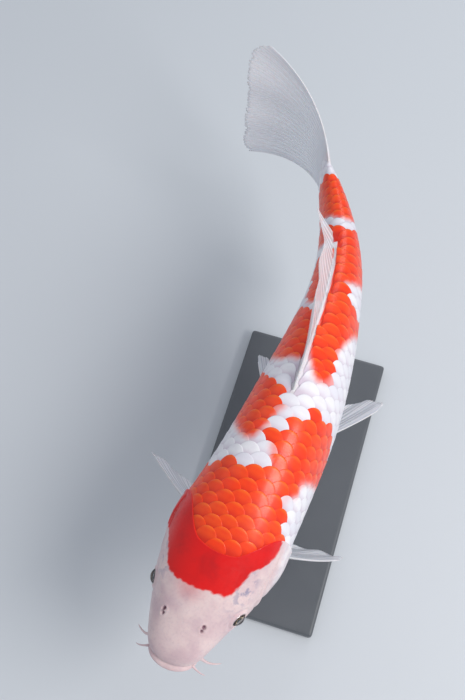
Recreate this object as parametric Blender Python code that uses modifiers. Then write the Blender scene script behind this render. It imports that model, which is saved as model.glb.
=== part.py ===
"""A koi carp of the Kohaku variety, life size, held up by a plain display stand.

Metres, +Z up. The head points along -Y, the tail along +Y, and the fish's left side is +X.
A place on the body is given by s, from 0 at the snout to 1 at the tail base, and by its girth
angle in degrees, from 0 along the back through 90 on the left flank to 180 under the belly.
The right side has negative girth angles.
"""

import math

import bmesh
import bpy
from mathutils import Vector

# Driving dimensions
BODY_LENGTH = 0.500  # snout to tail base
SPINE_HEIGHT = 0.170  # the body's axis above the floor
GAP = 0.0004  # between neighbouring pieces
SPINE_STEPS = 200

# The body swims in a curve: s, and the axis's turn in degrees from the snout-to-tail chord
SPINE_BEND = (
    (0.00, 8.0),
    (0.25, 13.0),
    (0.50, 6.8),
    (0.70, -1.2),
    (0.85, -17.0),
    (1.00, -30.0),
)

# The body's cross-sections: s, then top, bottom and half width in body lengths
SECTIONS = (
    (0.00, -0.012, -0.014, 0.001),
    (0.02, 0.020, -0.039, 0.042),
    (0.05, 0.040, -0.052, 0.0565),
    (0.09, 0.063, -0.066, 0.071),
    (0.13, 0.083, -0.080, 0.085),
    (0.17, 0.100, -0.094, 0.094),
    (0.22, 0.118, -0.109, 0.103),
    (0.28, 0.133, -0.124, 0.097),
    (0.35, 0.143, -0.136, 0.0915),
    (0.42, 0.148, -0.141, 0.087),
    (0.50, 0.146, -0.142, 0.081),
    (0.60, 0.132, -0.133, 0.069),
    (0.70, 0.110, -0.112, 0.055),
    (0.80, 0.086, -0.083, 0.043),
    (0.90, 0.067, -0.063, 0.030),
    (0.96, 0.063, -0.061, 0.021),
    (1.00, 0.063, -0.062, 0.010),
)
ROUNDNESS = 2.15  # exponent of the superelliptic sections

# The edge of the head behind the gill covers: girth angle without sign, and s
HEAD_EDGE = (
    (0, 0.176),
    (20, 0.184),
    (35, 0.217),
    (50, 0.244),
    (65, 0.254),
    (90, 0.256),
    (115, 0.250),
    (140, 0.226),
    (165, 0.200),
    (180, 0.193),
)
HEAD_CORE = 0.257  # where the cut between head and trunk crosses the axis
TRUNK_SPLIT = 0.46
TAIL_SPLIT = 0.73

HEAD_RINGS = 14
RING_SIDES = 28
SPACING = 0.030  # between the rings of the trunk, in body lengths

# Head
EYE_PLACE = (0.112, 79)
EYE_RADIUS = 0.0078
EYE_DEPTH = 0.0042  # the ball's centre under the skin
LIP_RADIUS = 0.0034
LIP_CORNER = (0.034, 42)  # how far back and how far down round the snout the corners lie
LIP_RINGS = 17
LIP_SIDES = 8
LIP_FLATNESS = 0.8
LIP_TAPER = 0.8
LIP_STANDOUT = 0.00034
LOWER_LIP_RECESS = 0.2  # in radii, how much less the lower lip stands out
GILL_SPAN = (62, 139)  # girth angles of the gill cover
GILL_LENGTH = 0.088
GILL_ROUNDING = 0.55  # exponent of the front edge's curve
GILL_CORNER = 0.97  # 1 would bring the front edge to the rear one at both ends
GILL_THICKNESS = 0.004
GILL_SLOT_GROWTH = 0.0016  # in body lengths
GILL_SLOT_REAR = 0.012  # how far the slot's cutter runs past the head, in body lengths
GILL_SLOT_TOP = 0.003  # how far it stands above the skin

# Feelers: name, place along the lip, way and sag as out, rear and up shares, length, radius
BARBELS = (
    ("barbel", 1.00, (0.55, -0.10, -0.80), (0.10, 0.35, 0.00), 0.022, 0.0013),
    ("small_barbel", 0.66, (0.80, -0.35, -0.30), (0.00, 0.30, -0.30), 0.011, 0.0009),
)
BARBEL_TAPER = 0.62
BARBEL_POINTS = 7
BARBEL_STANDOFF = 0.0008  # between the feeler's root and the lip

# Tail fin
TAIL_OUTLINE = (  # each ray's length, from the lowest ray at -1 to the highest at 1
    (-1.0, 0.1210),
    (-0.85, 0.1235),
    (-0.5, 0.1185),
    (0.0, 0.1185),
    (0.5, 0.1285),
    (0.75, 0.1345),
    (0.88, 0.1320),
    (1.0, 0.1238),
)
TAIL_TURN_LENGTH = 0.138  # how much of a ray turns by TAIL_TURN
TAIL_SLOPE = 12.0  # degrees that the middle ray rises
TAIL_SPREAD = 27.0  # degrees of slope between the middle ray and the outermost ones
TAIL_HEADING = -20.0  # degrees from the chord, at the rays' roots
TAIL_TURN = (89.0, -6.0, -14.0)  # degrees along a lobe: at the middle, then per spread and its square
TAIL_ROOT_PLACE = 0.985
TAIL_ROOT_HALF = 0.029
TAIL_ROOT_THICKNESS = 0.0060
TAIL_STEPS = 8

FIN_ROOT_THICKNESS = 0.0036
FIN_EDGE_THICKNESS = 0.0007
FIN_SUNK = 0.006  # how far a fin's root starts under the skin

# Stand
BASE_SIZE = (0.150, 0.300, 0.012)
BASE_CORNER = 0.003
ROD_RADIUS = 0.004
ROD_PLACES = (("front", 0.33), ("rear", 0.60))
CUP_FOOT_RADIUS = 0.0052
CUP_RADIUS = 0.011
CUP_HEIGHT = 0.014
CUP_SHOWING = 0.6  # the share of a cup's height below the belly's lowest line


def srgb(red, green, blue):
    """A colour given in display values of 0 to 255, as the linear values a shader takes."""
    return tuple((c / 255) ** 2.2 for c in (red, green, blue)) + (1.0,)


WHITE_SKIN = srgb(222, 214, 214)
ORANGE_SKIN = srgb(250, 84, 36)
CRIMSON_SKIN = srgb(226, 44, 44)
FIN_WHITE = srgb(206, 216, 226)
LIP_PINK = srgb(214, 186, 184)
EYE_DARK = srgb(18, 18, 24)
STAND_GREY = srgb(190, 192, 194)
STEEL = srgb(170, 172, 175)


def clear_scene():
    for found in list(bpy.data.objects):
        bpy.data.objects.remove(found, do_unlink=True)


def smooth(table, x):
    """The table's other columns at x, along a curve that never overshoots its rows."""
    keys = [row[0] for row in table]
    x = min(max(x, keys[0]), keys[-1])
    i = max(k for k in range(len(keys) - 1) if keys[k] <= x)
    width = keys[i + 1] - keys[i]
    t = (x - keys[i]) / width
    values = []
    for column in range(1, len(table[0])):
        column_values = [row[column] for row in table]
        first = slope(keys, column_values, i) * width
        last = slope(keys, column_values, i + 1) * width
        start, end = column_values[i], column_values[i + 1]
        values.append(
            start * (2 * t**3 - 3 * t**2 + 1)
            + first * (t**3 - 2 * t**2 + t)
            + end * (3 * t**2 - 2 * t**3)
            + last * (t**3 - t**2)
        )
    return values if len(values) > 1 else values[0]


def slope(keys, values, i):
    """The slope at row i: the harmonic mean of its neighbours' slopes, or 0 at a peak."""
    if i == 0:
        return (values[1] - values[0]) / (keys[1] - keys[0])
    if i == len(keys) - 1:
        return (values[-1] - values[-2]) / (keys[-1] - keys[-2])
    before = (values[i] - values[i - 1]) / (keys[i] - keys[i - 1])
    after = (values[i + 1] - values[i]) / (keys[i + 1] - keys[i])
    return 2 * before * after / (before + after) if before * after > 0 else 0.0


# The body's axis and its sections


def axis_points(chord_turn):
    """Points along the bent axis, each direction turned back by chord_turn."""
    step = BODY_LENGTH / SPINE_STEPS
    points = [Vector((0, 0, 0))]
    for k in range(SPINE_STEPS):
        turn = math.radians(smooth(SPINE_BEND, (k + 0.5) / SPINE_STEPS)) - chord_turn
        points.append(points[-1] + step * Vector((math.sin(turn), math.cos(turn), 0)))
    return points


TAIL_BASE = axis_points(0.0)[-1]
CHORD_TURN = math.atan2(TAIL_BASE.x, TAIL_BASE.y)
AXIS = axis_points(CHORD_TURN)  # its chord from snout to tail base is +Y


def frame_at(s):
    """The axis point at s, with the directions to the rear, to the left and up."""
    inside = min(max(s, 0.0), 1.0)
    k = inside * SPINE_STEPS
    i = min(int(k), SPINE_STEPS - 1)
    turn = math.radians(smooth(SPINE_BEND, s)) - CHORD_TURN
    rear = Vector((math.sin(turn), math.cos(turn), 0))
    left = Vector((math.cos(turn), -math.sin(turn), 0))
    point = AXIS[i].lerp(AXIS[i + 1], k - i) + rear * (s - inside) * BODY_LENGTH
    return point, rear, left, Vector((0, 0, 1))


SECTIONS_BY_ROOT = tuple((math.sqrt(row[0]),) + row[1:] for row in SECTIONS)


def section_at(s):
    """Middle height, half height and half width of the section at s."""
    top, bottom, half_width = smooth(SECTIONS_BY_ROOT, math.sqrt(max(s, 0.0)))
    middle = (top + bottom) / 2 * BODY_LENGTH
    return middle, (top - bottom) / 2 * BODY_LENGTH, half_width * BODY_LENGTH


def power(value, exponent):
    return math.copysign(abs(value) ** exponent, value)


def skin(s, girth):
    """The point of the body's surface at s and the girth angle."""
    point, _, left, up = frame_at(s)
    middle, half_height, half_width = section_at(s)
    angle = math.radians(girth)
    across = half_width * power(math.sin(angle), 2 / ROUNDNESS)
    height = middle + half_height * power(math.cos(angle), 2 / ROUNDNESS)
    return point + left * across + up * height


def outward(s, girth):
    """The surface's outward direction."""
    s = max(s, 0.004)
    along = skin(s + 0.002, girth) - skin(s - 0.002, girth)
    around = skin(s, girth + 1) - skin(s, girth - 1)
    return around.cross(along).normalized()


def lifted(s, girth, height):
    """A point above the surface, or below it where height is negative."""
    return skin(s, girth) + outward(s, girth) * height


def head_edge(girth):
    return smooth(HEAD_EDGE, abs((girth + 180) % 360 - 180))


# Making objects


def new_collection(name):
    made = bpy.data.collections.new(name)
    bpy.context.scene.collection.children.link(made)
    return made


def new_object(name, mesh, collection):
    made = bpy.data.objects.new(name, mesh)
    collection.objects.link(made)
    made.parent = HOLDER
    return made


def set_origin(piece, point):
    """Moves the object's origin to the point and leaves its shape where it is."""
    for vertex in piece.data.vertices:
        vertex.co -= point
    piece.location = point


def new_material(name, colour, roughness, metallic):
    material = bpy.data.materials.new(name)
    material.use_nodes = True
    shader = material.node_tree.nodes["Principled BSDF"]
    shader.inputs["Base Color"].default_value = colour
    shader.inputs["Roughness"].default_value = roughness
    shader.inputs["Metallic"].default_value = metallic
    return material


def give_material(piece, colour, roughness, metallic=0.0):
    piece.data.materials.append(new_material(piece.name, colour, roughness, metallic))
    piece.data.shade_smooth()
    piece.data.set_sharp_from_angle(angle=math.radians(40))


def as_cutter(piece):
    piece.hide_render = True
    piece.display_type = "WIRE"
    return piece


def cut(piece, cutter, operation="DIFFERENCE"):
    modifier = piece.modifiers.new(cutter.name, "BOOLEAN")
    modifier.operation = operation
    modifier.object = cutter
    modifier.solver = "EXACT"


def loft(name, rings, collection, first_tip=None, last_tip=None):
    """A closed body through rings of equal count, each end closed by a fan round its tip."""
    made = bmesh.new()
    rows = [[made.verts.new(point) for point in ring] for ring in rings]
    count = len(rows[0])
    for lower, upper in zip(rows, rows[1:]):
        for k in range(count):
            n = (k + 1) % count
            made.faces.new((lower[k], lower[n], upper[n], upper[k]))
    for row, tip in ((rows[0], first_tip), (rows[-1], last_tip)):
        tip = tip or sum((v.co for v in row), Vector()) / count
        middle = made.verts.new(tip)
        for k in range(count):
            made.faces.new((row[k], row[(k + 1) % count], middle))
    bmesh.ops.recalc_face_normals(made, faces=made.faces)
    mesh = bpy.data.meshes.new(name)
    made.to_mesh(mesh)
    made.free()
    return new_object(name, mesh, collection)


def sheet(name, point_at, columns, rows, thickness_at, collection):
    """An open grid of points with a Solidify whose thickness varies over it."""
    mesh = bpy.data.meshes.new(name)
    places = [(i / columns, j / rows) for j in range(rows + 1) for i in range(columns + 1)]
    wide = columns + 1
    faces = [
        (j * wide + i, j * wide + i + 1, (j + 1) * wide + i + 1, (j + 1) * wide + i)
        for j in range(rows)
        for i in range(columns)
    ]
    mesh.from_pydata([point_at(u, v) for u, v in places], [], faces)
    piece = new_object(name, mesh, collection)
    thicknesses = [thickness_at(u, v) for u, v in places]
    thickest = max(thicknesses)
    group = piece.vertex_groups.new(name="thickness")
    for index, thickness in enumerate(thicknesses):
        group.add([index], thickness / thickest, "REPLACE")
    modifier = piece.modifiers.new("thickness", "SOLIDIFY")
    modifier.thickness = thickest
    modifier.offset = 0.0
    modifier.vertex_group = "thickness"
    return piece


# Body


def body_ring(s_at, lift=0.0):
    """A ring round the body. s_at gives s for each girth angle."""
    girths = [360 * k / RING_SIDES for k in range(RING_SIDES)]
    if lift:
        return [lifted(s_at(g), g, lift) for g in girths]
    return [skin(s_at(g), g) for g in girths]


def between(start, end, share):
    return lambda girth: start(girth) + (end(girth) - start(girth)) * share


def body_length(name, start, end, count, collection, first_tip=None, last_tip=None):
    """A length of the body between two edges, each a function of the girth angle."""
    rings = [body_ring(between(start, end, k / count)) for k in range(count + 1)]
    return loft(name, rings, collection, first_tip, last_tip)


def clearance_body(collection):
    """The whole body a gap larger all round, which cuts what stands against the body."""
    count = 36
    first = 0.004
    shares = [first + (1 - first) * (k / count) ** 1.5 for k in range(count + 1)]
    rings = [body_ring(lambda girth, s=s: s, GAP) for s in shares]
    _, rear, _, _ = frame_at(1.0)
    rings.append([point + rear * GAP for point in rings[-1]])
    tip = skin(0.0, 0) - frame_at(0.0)[1] * GAP
    return as_cutter(loft("body_clearance", rings, collection, tip))


def make_head():
    core = frame_at(HEAD_CORE)[0]
    rings = []
    for k in range(1, HEAD_RINGS + 1):
        share = (k / HEAD_RINGS) ** 1.8
        rings.append(body_ring(lambda girth, share=share: head_edge(girth) * share))
    head = loft("head", rings, FISH, skin(0.0, 0), core)
    give_material(head, CRIMSON_SKIN, 0.3)
    return head


def make_trunk():
    step = GAP / BODY_LENGTH

    def front_edge(girth):
        return head_edge(girth) + step

    edges = (
        ("trunk_front", front_edge, lambda girth: TRUNK_SPLIT),
        ("trunk_rear", lambda girth: TRUNK_SPLIT + step, lambda girth: TAIL_SPLIT),
        ("tail_stem", lambda girth: TAIL_SPLIT + step, lambda girth: 1.0),
    )
    for name, start, end in edges:
        count = round((end(90) - start(90)) / SPACING) + 1
        first_tip = frame_at(HEAD_CORE + step)[0] if name == "trunk_front" else None
        piece = body_length(name, start, end, count, FISH, first_tip)
        give_material(piece, ORANGE_SKIN if name != "tail_stem" else WHITE_SKIN, 0.3)


# Head


def gill_sheet(name, side, slot, collection):
    """The curved plate of a gill cover or, a little larger all round, the slot it lies in."""
    grow = GILL_SLOT_GROWTH if slot else 0.0
    outer = GILL_SLOT_TOP if slot else 0.0
    inner = -GILL_THICKNESS - (GAP if slot else 0.0)
    turn = math.degrees(grow * BODY_LENGTH / section_at(head_edge(90))[1])
    low, high = GILL_SPAN[0] - turn, GILL_SPAN[1] + turn
    middle, half = (low + high) / 2, (high - low) / 2

    def point_at(u, v):
        girth = low + (high - low) * v
        round_off = (1 - ((girth - middle) / half) ** 2 * GILL_CORNER) ** GILL_ROUNDING
        front = head_edge(girth) - GILL_LENGTH * round_off - grow
        rear = head_edge(girth) + (GILL_SLOT_REAR if slot else -GAP / BODY_LENGTH)
        return lifted(front + (rear - front) * u, side * girth, (outer + inner) / 2)

    return sheet(name, point_at, 6, 10, lambda u, v: outer - inner, collection)


def make_gill_covers(head):
    for side, name in ((1, "left"), (-1, "right")):
        cover = gill_sheet("gill_cover_" + name, side, False, FISH)
        give_material(cover, CRIMSON_SKIN, 0.3)
        cut(head, as_cutter(gill_sheet("gill_slot_" + name, side, True, CUTTERS)))


def lip_path(t):
    """A point of the upper lip's middle, t from -1 at the right corner to 1 at the left one."""
    s = LIP_CORNER[0] * t * t
    girth = 90 + LIP_CORNER[1] * abs(t) ** 1.3
    point = skin(s, math.copysign(girth, t)) if t else skin(0.0, 0)
    return point - frame_at(0.0)[1] * LIP_STANDOUT


def lip_frame(t):
    """The lip's radius at t, the direction out of the face, and the one across the lips."""
    ahead = (lip_path(min(t + 0.05, 1)) - lip_path(max(t - 0.05, -1))).normalized()
    out = ahead.cross(Vector((0, 0, 1))).normalized()
    return LIP_RADIUS * math.sqrt(1 - LIP_TAPER * t * t), out, out.cross(ahead)


def make_lip(name, lower, grow, collection):
    """A tube along the mouth's edge, thinner to its corners, or its twin below it."""
    rings = []
    for k in range(LIP_RINGS):
        t = 2 * k / (LIP_RINGS - 1) - 1
        radius, out, across = lip_frame(t)
        middle = lip_path(t)
        if lower:
            drop = 2 * radius * LIP_FLATNESS + GAP
            middle = middle - across * drop - out * radius * LOWER_LIP_RECESS
        angles = [math.tau * n / LIP_SIDES for n in range(LIP_SIDES)]
        rings.append(
            [
                middle
                + out * (radius + grow) * math.cos(angle)
                + across * (radius * LIP_FLATNESS + grow) * math.sin(angle)
                for angle in angles
            ]
        )
    return loft(name, rings, collection)


def make_lips(head):
    for name, lower in (("upper_lip", False), ("lower_lip", True)):
        lip = make_lip(name, lower, 0.0, FISH)
        give_material(lip, LIP_PINK, 0.35)
        cut(head, as_cutter(make_lip(name + "_slot", lower, GAP, CUTTERS)))


def ball(name, radius, place, collection):
    mesh = bpy.data.meshes.new(name)
    made = bmesh.new()
    bmesh.ops.create_uvsphere(made, u_segments=16, v_segments=9, radius=radius)
    made.to_mesh(mesh)
    made.free()
    piece = new_object(name, mesh, collection)
    piece.location = place
    return piece


def make_eyes(head):
    for side, name in ((1, "left"), (-1, "right")):
        s, girth = EYE_PLACE
        place = lifted(s, side * girth, -EYE_DEPTH)
        eye = ball("eye_" + name, EYE_RADIUS, place, FISH)
        give_material(eye, EYE_DARK, 0.08)
        cut(head, as_cutter(ball("eye_socket_" + name, EYE_RADIUS + GAP, place, CUTTERS)))


def make_barbel(name, root, way, sag, length, radius):
    """A tapered feeler that leaves its root along a way and sags toward its tip."""
    data = bpy.data.curves.new(name, "CURVE")
    data.dimensions = "3D"
    data.bevel_depth = radius
    data.bevel_resolution = 1
    data.use_fill_caps = True
    spline = data.splines.new("POLY")
    spline.points.add(BARBEL_POINTS - 1)
    for k in range(BARBEL_POINTS):
        t = k / (BARBEL_POINTS - 1)
        point = way * length * t + sag * length * t * t
        spline.points[k].co = (*point, 1)
        spline.points[k].radius = 1 - BARBEL_TAPER * t
    barbel = new_object(name, data, FISH)
    barbel.location = root
    barbel.data.materials.append(new_material(name, LIP_PINK, 0.35, 0.0))


def make_barbels():
    _, rear, left, up = frame_at(0.0)
    for name, place, way, sag, length, radius in BARBELS:
        for side, side_name in ((1, "left"), (-1, "right")):
            out = left * side
            root = lip_path(place * side) + out * (LIP_RADIUS + radius + BARBEL_STANDOFF)
            heading = (out * way[0] + rear * way[1] + up * way[2]).normalized()
            droop = out * sag[0] + rear * sag[1] + up * sag[2]
            make_barbel(name + "_" + side_name, root, heading, droop, length, radius)


# Fins


def local(s, vector):
    """A direction given as rearward, leftward and upward shares at s, made unit length."""
    _, rear, left, up = frame_at(s)
    return (rear * vector[0] + left * vector[1] + up * vector[2]).normalized()


def fin_point(fin, u, v):
    """u runs along the fin's root from its first ray to its last, v out along a ray."""
    (s0, g0), (s1, g1) = fin["root"]
    s = s0 + (s1 - s0) * u
    base = lifted(s, g0 + (g1 - g0) * u, -FIN_SUNK)
    first, last = Vector(fin["first_ray"]), Vector(fin["last_ray"])
    way = local(s, first.lerp(last, u))
    curl = Vector(fin["curl"])
    _, rear, left, up = frame_at(s)
    length = fin["length"] * smooth(fin["outline"], u) + FIN_SUNK
    bend = (rear * curl[0] + left * curl[1] + up * curl[2]) * length * v * v
    return base + way * length * v + bend


def fin_thickness(u, v):
    return FIN_ROOT_THICKNESS + (FIN_EDGE_THICKNESS - FIN_ROOT_THICKNESS) * v**0.45


DORSAL = {
    "root": ((0.455, -2), (0.815, -16)),
    "first_ray": (0.62, -0.05, 0.78),
    "last_ray": (0.80, -0.57, 0.17),
    "curl": (0.10, 0.0, -0.05),
    "length": 0.058,
    "outline": (
        (0.00, 0.62),
        (0.04, 0.90),
        (0.10, 1.00),
        (0.30, 0.82),
        (0.60, 0.57),
        (0.85, 0.47),
        (1.00, 0.54),
    ),
    "grid": (22, 5),
}
ANAL = {
    "root": ((0.770, 180), (0.845, 180)),
    "first_ray": (0.62, 0.0, -0.78),
    "last_ray": (0.92, -0.10, -0.35),
    "curl": (0.10, -0.06, 0.04),
    "length": 0.058,
    "outline": ((0.00, 0.80), (0.12, 1.00), (0.45, 0.86), (0.80, 0.62), (1.00, 0.50)),
    "grid": (8, 6),
}
PECTORAL_OUTLINE = (
    (0.00, 0.90),
    (0.12, 1.00),
    (0.35, 0.99),
    (0.65, 0.84),
    (0.88, 0.62),
    (1.00, 0.46),
)
PECTORALS = (
    (
        "left",
        {
            "root": ((0.252, 120), (0.268, 146)),
            "first_ray": (0.35, 0.60, -0.72),
            "last_ray": (0.27, 0.20, -0.94),
            "curl": (0.10, 0.0, 0.05),
            "length": 0.088,
            "outline": PECTORAL_OUTLINE,
            "grid": (10, 7),
        },
    ),
    (
        "right",
        {
            "root": ((0.252, -120), (0.268, -146)),
            "first_ray": (0.32, -0.86, -0.44),
            "last_ray": (0.28, -0.40, -0.87),
            "curl": (0.10, 0.0, 0.05),
            "length": 0.088,
            "outline": PECTORAL_OUTLINE,
            "grid": (10, 7),
        },
    ),
)
PELVIC_OUTLINE = ((0.00, 0.88), (0.12, 1.00), (0.45, 0.95), (0.80, 0.72), (1.00, 0.52))
PELVICS = (
    (
        "left",
        {
            "root": ((0.470, 152), (0.500, 163)),
            "first_ray": (0.76, 0.64, -0.10),
            "last_ray": (0.79, 0.36, -0.50),
            "curl": (0.06, 0.0, 0.05),
            "length": 0.082,
            "outline": PELVIC_OUTLINE,
            "grid": (9, 6),
        },
    ),
    (
        "right",
        {
            "root": ((0.470, -152), (0.500, -163)),
            "first_ray": (0.80, -0.56, -0.20),
            "last_ray": (0.80, -0.26, -0.54),
            "curl": (0.06, 0.0, 0.05),
            "length": 0.082,
            "outline": PELVIC_OUTLINE,
            "grid": (9, 6),
        },
    ),
)


def make_fin(name, fin, clearance):
    piece = sheet(name, lambda u, v: fin_point(fin, u, v), *fin["grid"], fin_thickness, FISH)
    set_origin(piece, fin_point(fin, 0.0, 0.0))
    give_material(piece, FIN_WHITE, 0.35)
    cut(piece, clearance)


def tail_point(spread, v):
    """spread runs from -1 on the lowest ray to 1 on the highest, v out along a ray."""
    length = smooth(TAIL_OUTLINE, spread) + (1 - TAIL_ROOT_PLACE) * BODY_LENGTH
    turn = TAIL_TURN[0] + TAIL_TURN[1] * spread + TAIL_TURN[2] * spread**2
    rise = math.radians(TAIL_SLOPE + TAIL_SPREAD * spread)
    start, _, _, up = frame_at(TAIL_ROOT_PLACE)
    point = start + up * TAIL_ROOT_HALF * spread
    step = length * v / TAIL_STEPS
    for k in range(TAIL_STEPS):
        along = length / TAIL_TURN_LENGTH * v * (k + 0.5) / TAIL_STEPS
        way = math.radians(TAIL_HEADING - turn * along) - CHORD_TURN
        flat = Vector((math.sin(way), math.cos(way), 0)) * math.cos(rise)
        point = point + (flat + up * math.sin(rise)) * step
    return point


def tail_thickness(v):
    share = min(v * 1.4, 1.0) ** 0.5
    return TAIL_ROOT_THICKNESS + (FIN_EDGE_THICKNESS - TAIL_ROOT_THICKNESS) * share


def make_tail_fin(clearance):
    """The tail fin in two lobes, parted along its middle ray."""
    parting = 0.5 * GAP / TAIL_ROOT_HALF
    for name, low, high in (("upper", parting, 1.0), ("lower", -1.0, -parting)):
        piece = sheet(
            "caudal_fin_" + name,
            lambda u, v, low=low, high=high: tail_point(low + (high - low) * u, v),
            11,
            9,
            lambda u, v: tail_thickness(v),
            FISH,
        )
        set_origin(piece, frame_at(1.0)[0])
        give_material(piece, FIN_WHITE, 0.35)
        cut(piece, clearance)


# Stand


def cone(name, place, foot, head, height):
    """An upright cone or cylinder standing on the place."""
    mesh = bpy.data.meshes.new(name)
    made = bmesh.new()
    bmesh.ops.create_cone(
        made, cap_ends=True, segments=24, radius1=foot, radius2=head, depth=height
    )
    made.to_mesh(mesh)
    made.free()
    piece = new_object(name, mesh, FISH)
    piece.location = place + Vector((0, 0, height / 2))
    give_material(piece, STEEL, 0.3, 1.0)
    return piece


def make_rod(name, s, clearance):
    """A rod from the base up to a cup that fits the belly."""
    belly = skin(s, 180)
    cup_foot = belly.z - CUP_HEIGHT * CUP_SHOWING
    bottom = -SPINE_HEIGHT + BASE_SIZE[2] + GAP
    rod_place = Vector((belly.x, belly.y, bottom))
    cone("stand_rod_" + name, rod_place, ROD_RADIUS, ROD_RADIUS, cup_foot - GAP - bottom)
    cup_place = Vector((belly.x, belly.y, cup_foot))
    cup = cone("stand_cup_" + name, cup_place, CUP_FOOT_RADIUS, CUP_RADIUS, CUP_HEIGHT)
    cut(cup, clearance)


def make_stand(clearance):
    for name, s in ROD_PLACES:
        make_rod(name, s, clearance)
    mesh = bpy.data.meshes.new("stand_base")
    made = bmesh.new()
    bmesh.ops.create_cube(made, size=1.0)
    bmesh.ops.scale(made, vec=BASE_SIZE, verts=made.verts)
    made.to_mesh(mesh)
    made.free()
    base = new_object("stand_base", mesh, FISH)
    middle = sum((skin(s, 180) for _, s in ROD_PLACES), Vector()) / len(ROD_PLACES)
    base.location = (middle.x, middle.y, BASE_SIZE[2] / 2 - SPINE_HEIGHT)
    bevel = base.modifiers.new("edges", "BEVEL")
    bevel.width = BASE_CORNER
    bevel.segments = 3
    give_material(base, STAND_GREY, 0.5)


def centre_on_floor():
    """Moves the holder so that the whole object's box stands on the floor round the origin."""
    bpy.context.view_layer.update()
    graph = bpy.context.evaluated_depsgraph_get()
    points = []
    for piece in FISH.objects:
        if piece.type == "EMPTY":
            continue
        evaluated = piece.evaluated_get(graph)
        mesh = evaluated.to_mesh()
        points += [evaluated.matrix_world @ v.co for v in mesh.vertices]
        evaluated.to_mesh_clear()
    low = Vector([min(p[k] for p in points) for k in range(3)])
    high = Vector([max(p[k] for p in points) for k in range(3)])
    middle = (low + high) / 2
    HOLDER.location -= Vector((middle.x, middle.y, low.z))


clear_scene()
FISH = new_collection("koi_carp")
CUTTERS = new_collection("cutters")
HOLDER = bpy.data.objects.new("koi_carp_origin", None)
FISH.objects.link(HOLDER)

CLEARANCE = clearance_body(CUTTERS)
HEAD = make_head()
make_gill_covers(HEAD)
make_lips(HEAD)
make_eyes(HEAD)
make_barbels()
make_trunk()
make_fin("dorsal_fin", DORSAL, CLEARANCE)
make_fin("anal_fin", ANAL, CLEARANCE)
for side_name, pectoral in PECTORALS:
    make_fin("pectoral_fin_" + side_name, pectoral, CLEARANCE)
for side_name, pelvic in PELVICS:
    make_fin("pelvic_fin_" + side_name, pelvic, CLEARANCE)
make_tail_fin(CLEARANCE)
make_stand(CLEARANCE)
centre_on_floor()
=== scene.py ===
"""The looks of a koi carp of the Kohaku variety, life size, on its display stand.

Metres, +Z up. The head points along -Y, the tail along +Y, and the fish's left side is +X.
A place on the body is given by s, from 0 at the snout to 1 at the tail base, and by its girth
angle in degrees, from 0 along the back through 90 on the left flank to 180 under the belly.
The right side has negative girth angles. The numbers of the body, head and fins are those of
the solids, which the skin, eyes and scales lie on.
"""

import math

import bpy
import numpy as np
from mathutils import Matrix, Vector


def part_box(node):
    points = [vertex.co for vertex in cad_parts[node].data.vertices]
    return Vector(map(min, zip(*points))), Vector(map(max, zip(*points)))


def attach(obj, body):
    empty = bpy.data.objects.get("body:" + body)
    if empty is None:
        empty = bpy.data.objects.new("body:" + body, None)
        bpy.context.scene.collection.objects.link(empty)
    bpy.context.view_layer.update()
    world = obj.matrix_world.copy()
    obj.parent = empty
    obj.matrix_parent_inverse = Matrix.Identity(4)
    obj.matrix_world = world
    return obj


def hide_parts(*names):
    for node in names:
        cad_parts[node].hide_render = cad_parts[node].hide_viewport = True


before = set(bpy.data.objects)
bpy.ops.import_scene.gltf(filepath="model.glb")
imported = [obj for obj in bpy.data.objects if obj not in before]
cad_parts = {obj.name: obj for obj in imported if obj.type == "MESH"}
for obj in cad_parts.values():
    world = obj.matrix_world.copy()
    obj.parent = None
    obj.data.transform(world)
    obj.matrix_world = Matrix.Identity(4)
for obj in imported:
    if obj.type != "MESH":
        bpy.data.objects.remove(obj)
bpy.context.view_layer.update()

UP = np.array((0.0, 0.0, 1.0))
MM = 0.001

# ---- The body, as in the solids ----

BODY_LENGTH = 0.500
SPINE_STEPS = 200
GAP = 0.0004
SPINE_BEND = (
    (0.00, 8.0),
    (0.25, 13.0),
    (0.50, 6.8),
    (0.70, -1.2),
    (0.85, -17.0),
    (1.00, -30.0),
)
SECTIONS = (
    (0.00, -0.012, -0.014, 0.001),
    (0.02, 0.020, -0.039, 0.042),
    (0.05, 0.040, -0.052, 0.0565),
    (0.09, 0.063, -0.066, 0.071),
    (0.13, 0.083, -0.080, 0.085),
    (0.17, 0.100, -0.094, 0.094),
    (0.22, 0.118, -0.109, 0.103),
    (0.28, 0.133, -0.124, 0.097),
    (0.35, 0.143, -0.136, 0.0915),
    (0.42, 0.148, -0.141, 0.087),
    (0.50, 0.146, -0.142, 0.081),
    (0.60, 0.132, -0.133, 0.069),
    (0.70, 0.110, -0.112, 0.055),
    (0.80, 0.086, -0.083, 0.043),
    (0.90, 0.067, -0.063, 0.030),
    (0.96, 0.063, -0.061, 0.021),
    (1.00, 0.063, -0.062, 0.010),
)
ROUNDNESS = 2.15
HEAD_EDGE = (
    (0, 0.176),
    (20, 0.184),
    (35, 0.217),
    (50, 0.244),
    (65, 0.254),
    (90, 0.256),
    (115, 0.250),
    (140, 0.226),
    (165, 0.200),
    (180, 0.193),
)
EYE_PLACE = (0.112, 79)
EYE_RADIUS = 0.0078
EYE_DEPTH = 0.0042
LIP_RADIUS = 0.0034
LIP_CORNER = (0.034, 42)
LIP_FLATNESS = 0.8
LIP_TAPER = 0.8
LIP_STANDOUT = 0.00034
GILL_SPAN = (62, 139)
GILL_LENGTH = 0.088
GILL_ROUNDING = 0.55
GILL_CORNER = 0.97
BARBELS = (
    (1.00, (0.55, -0.10, -0.80), (0.10, 0.35, 0.00), 0.022, 0.0013),
    (0.66, (0.80, -0.35, -0.30), (0.00, 0.30, -0.30), 0.011, 0.0009),
)
BARBEL_TAPER = 0.62
BARBEL_STANDOFF = 0.0008
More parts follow.
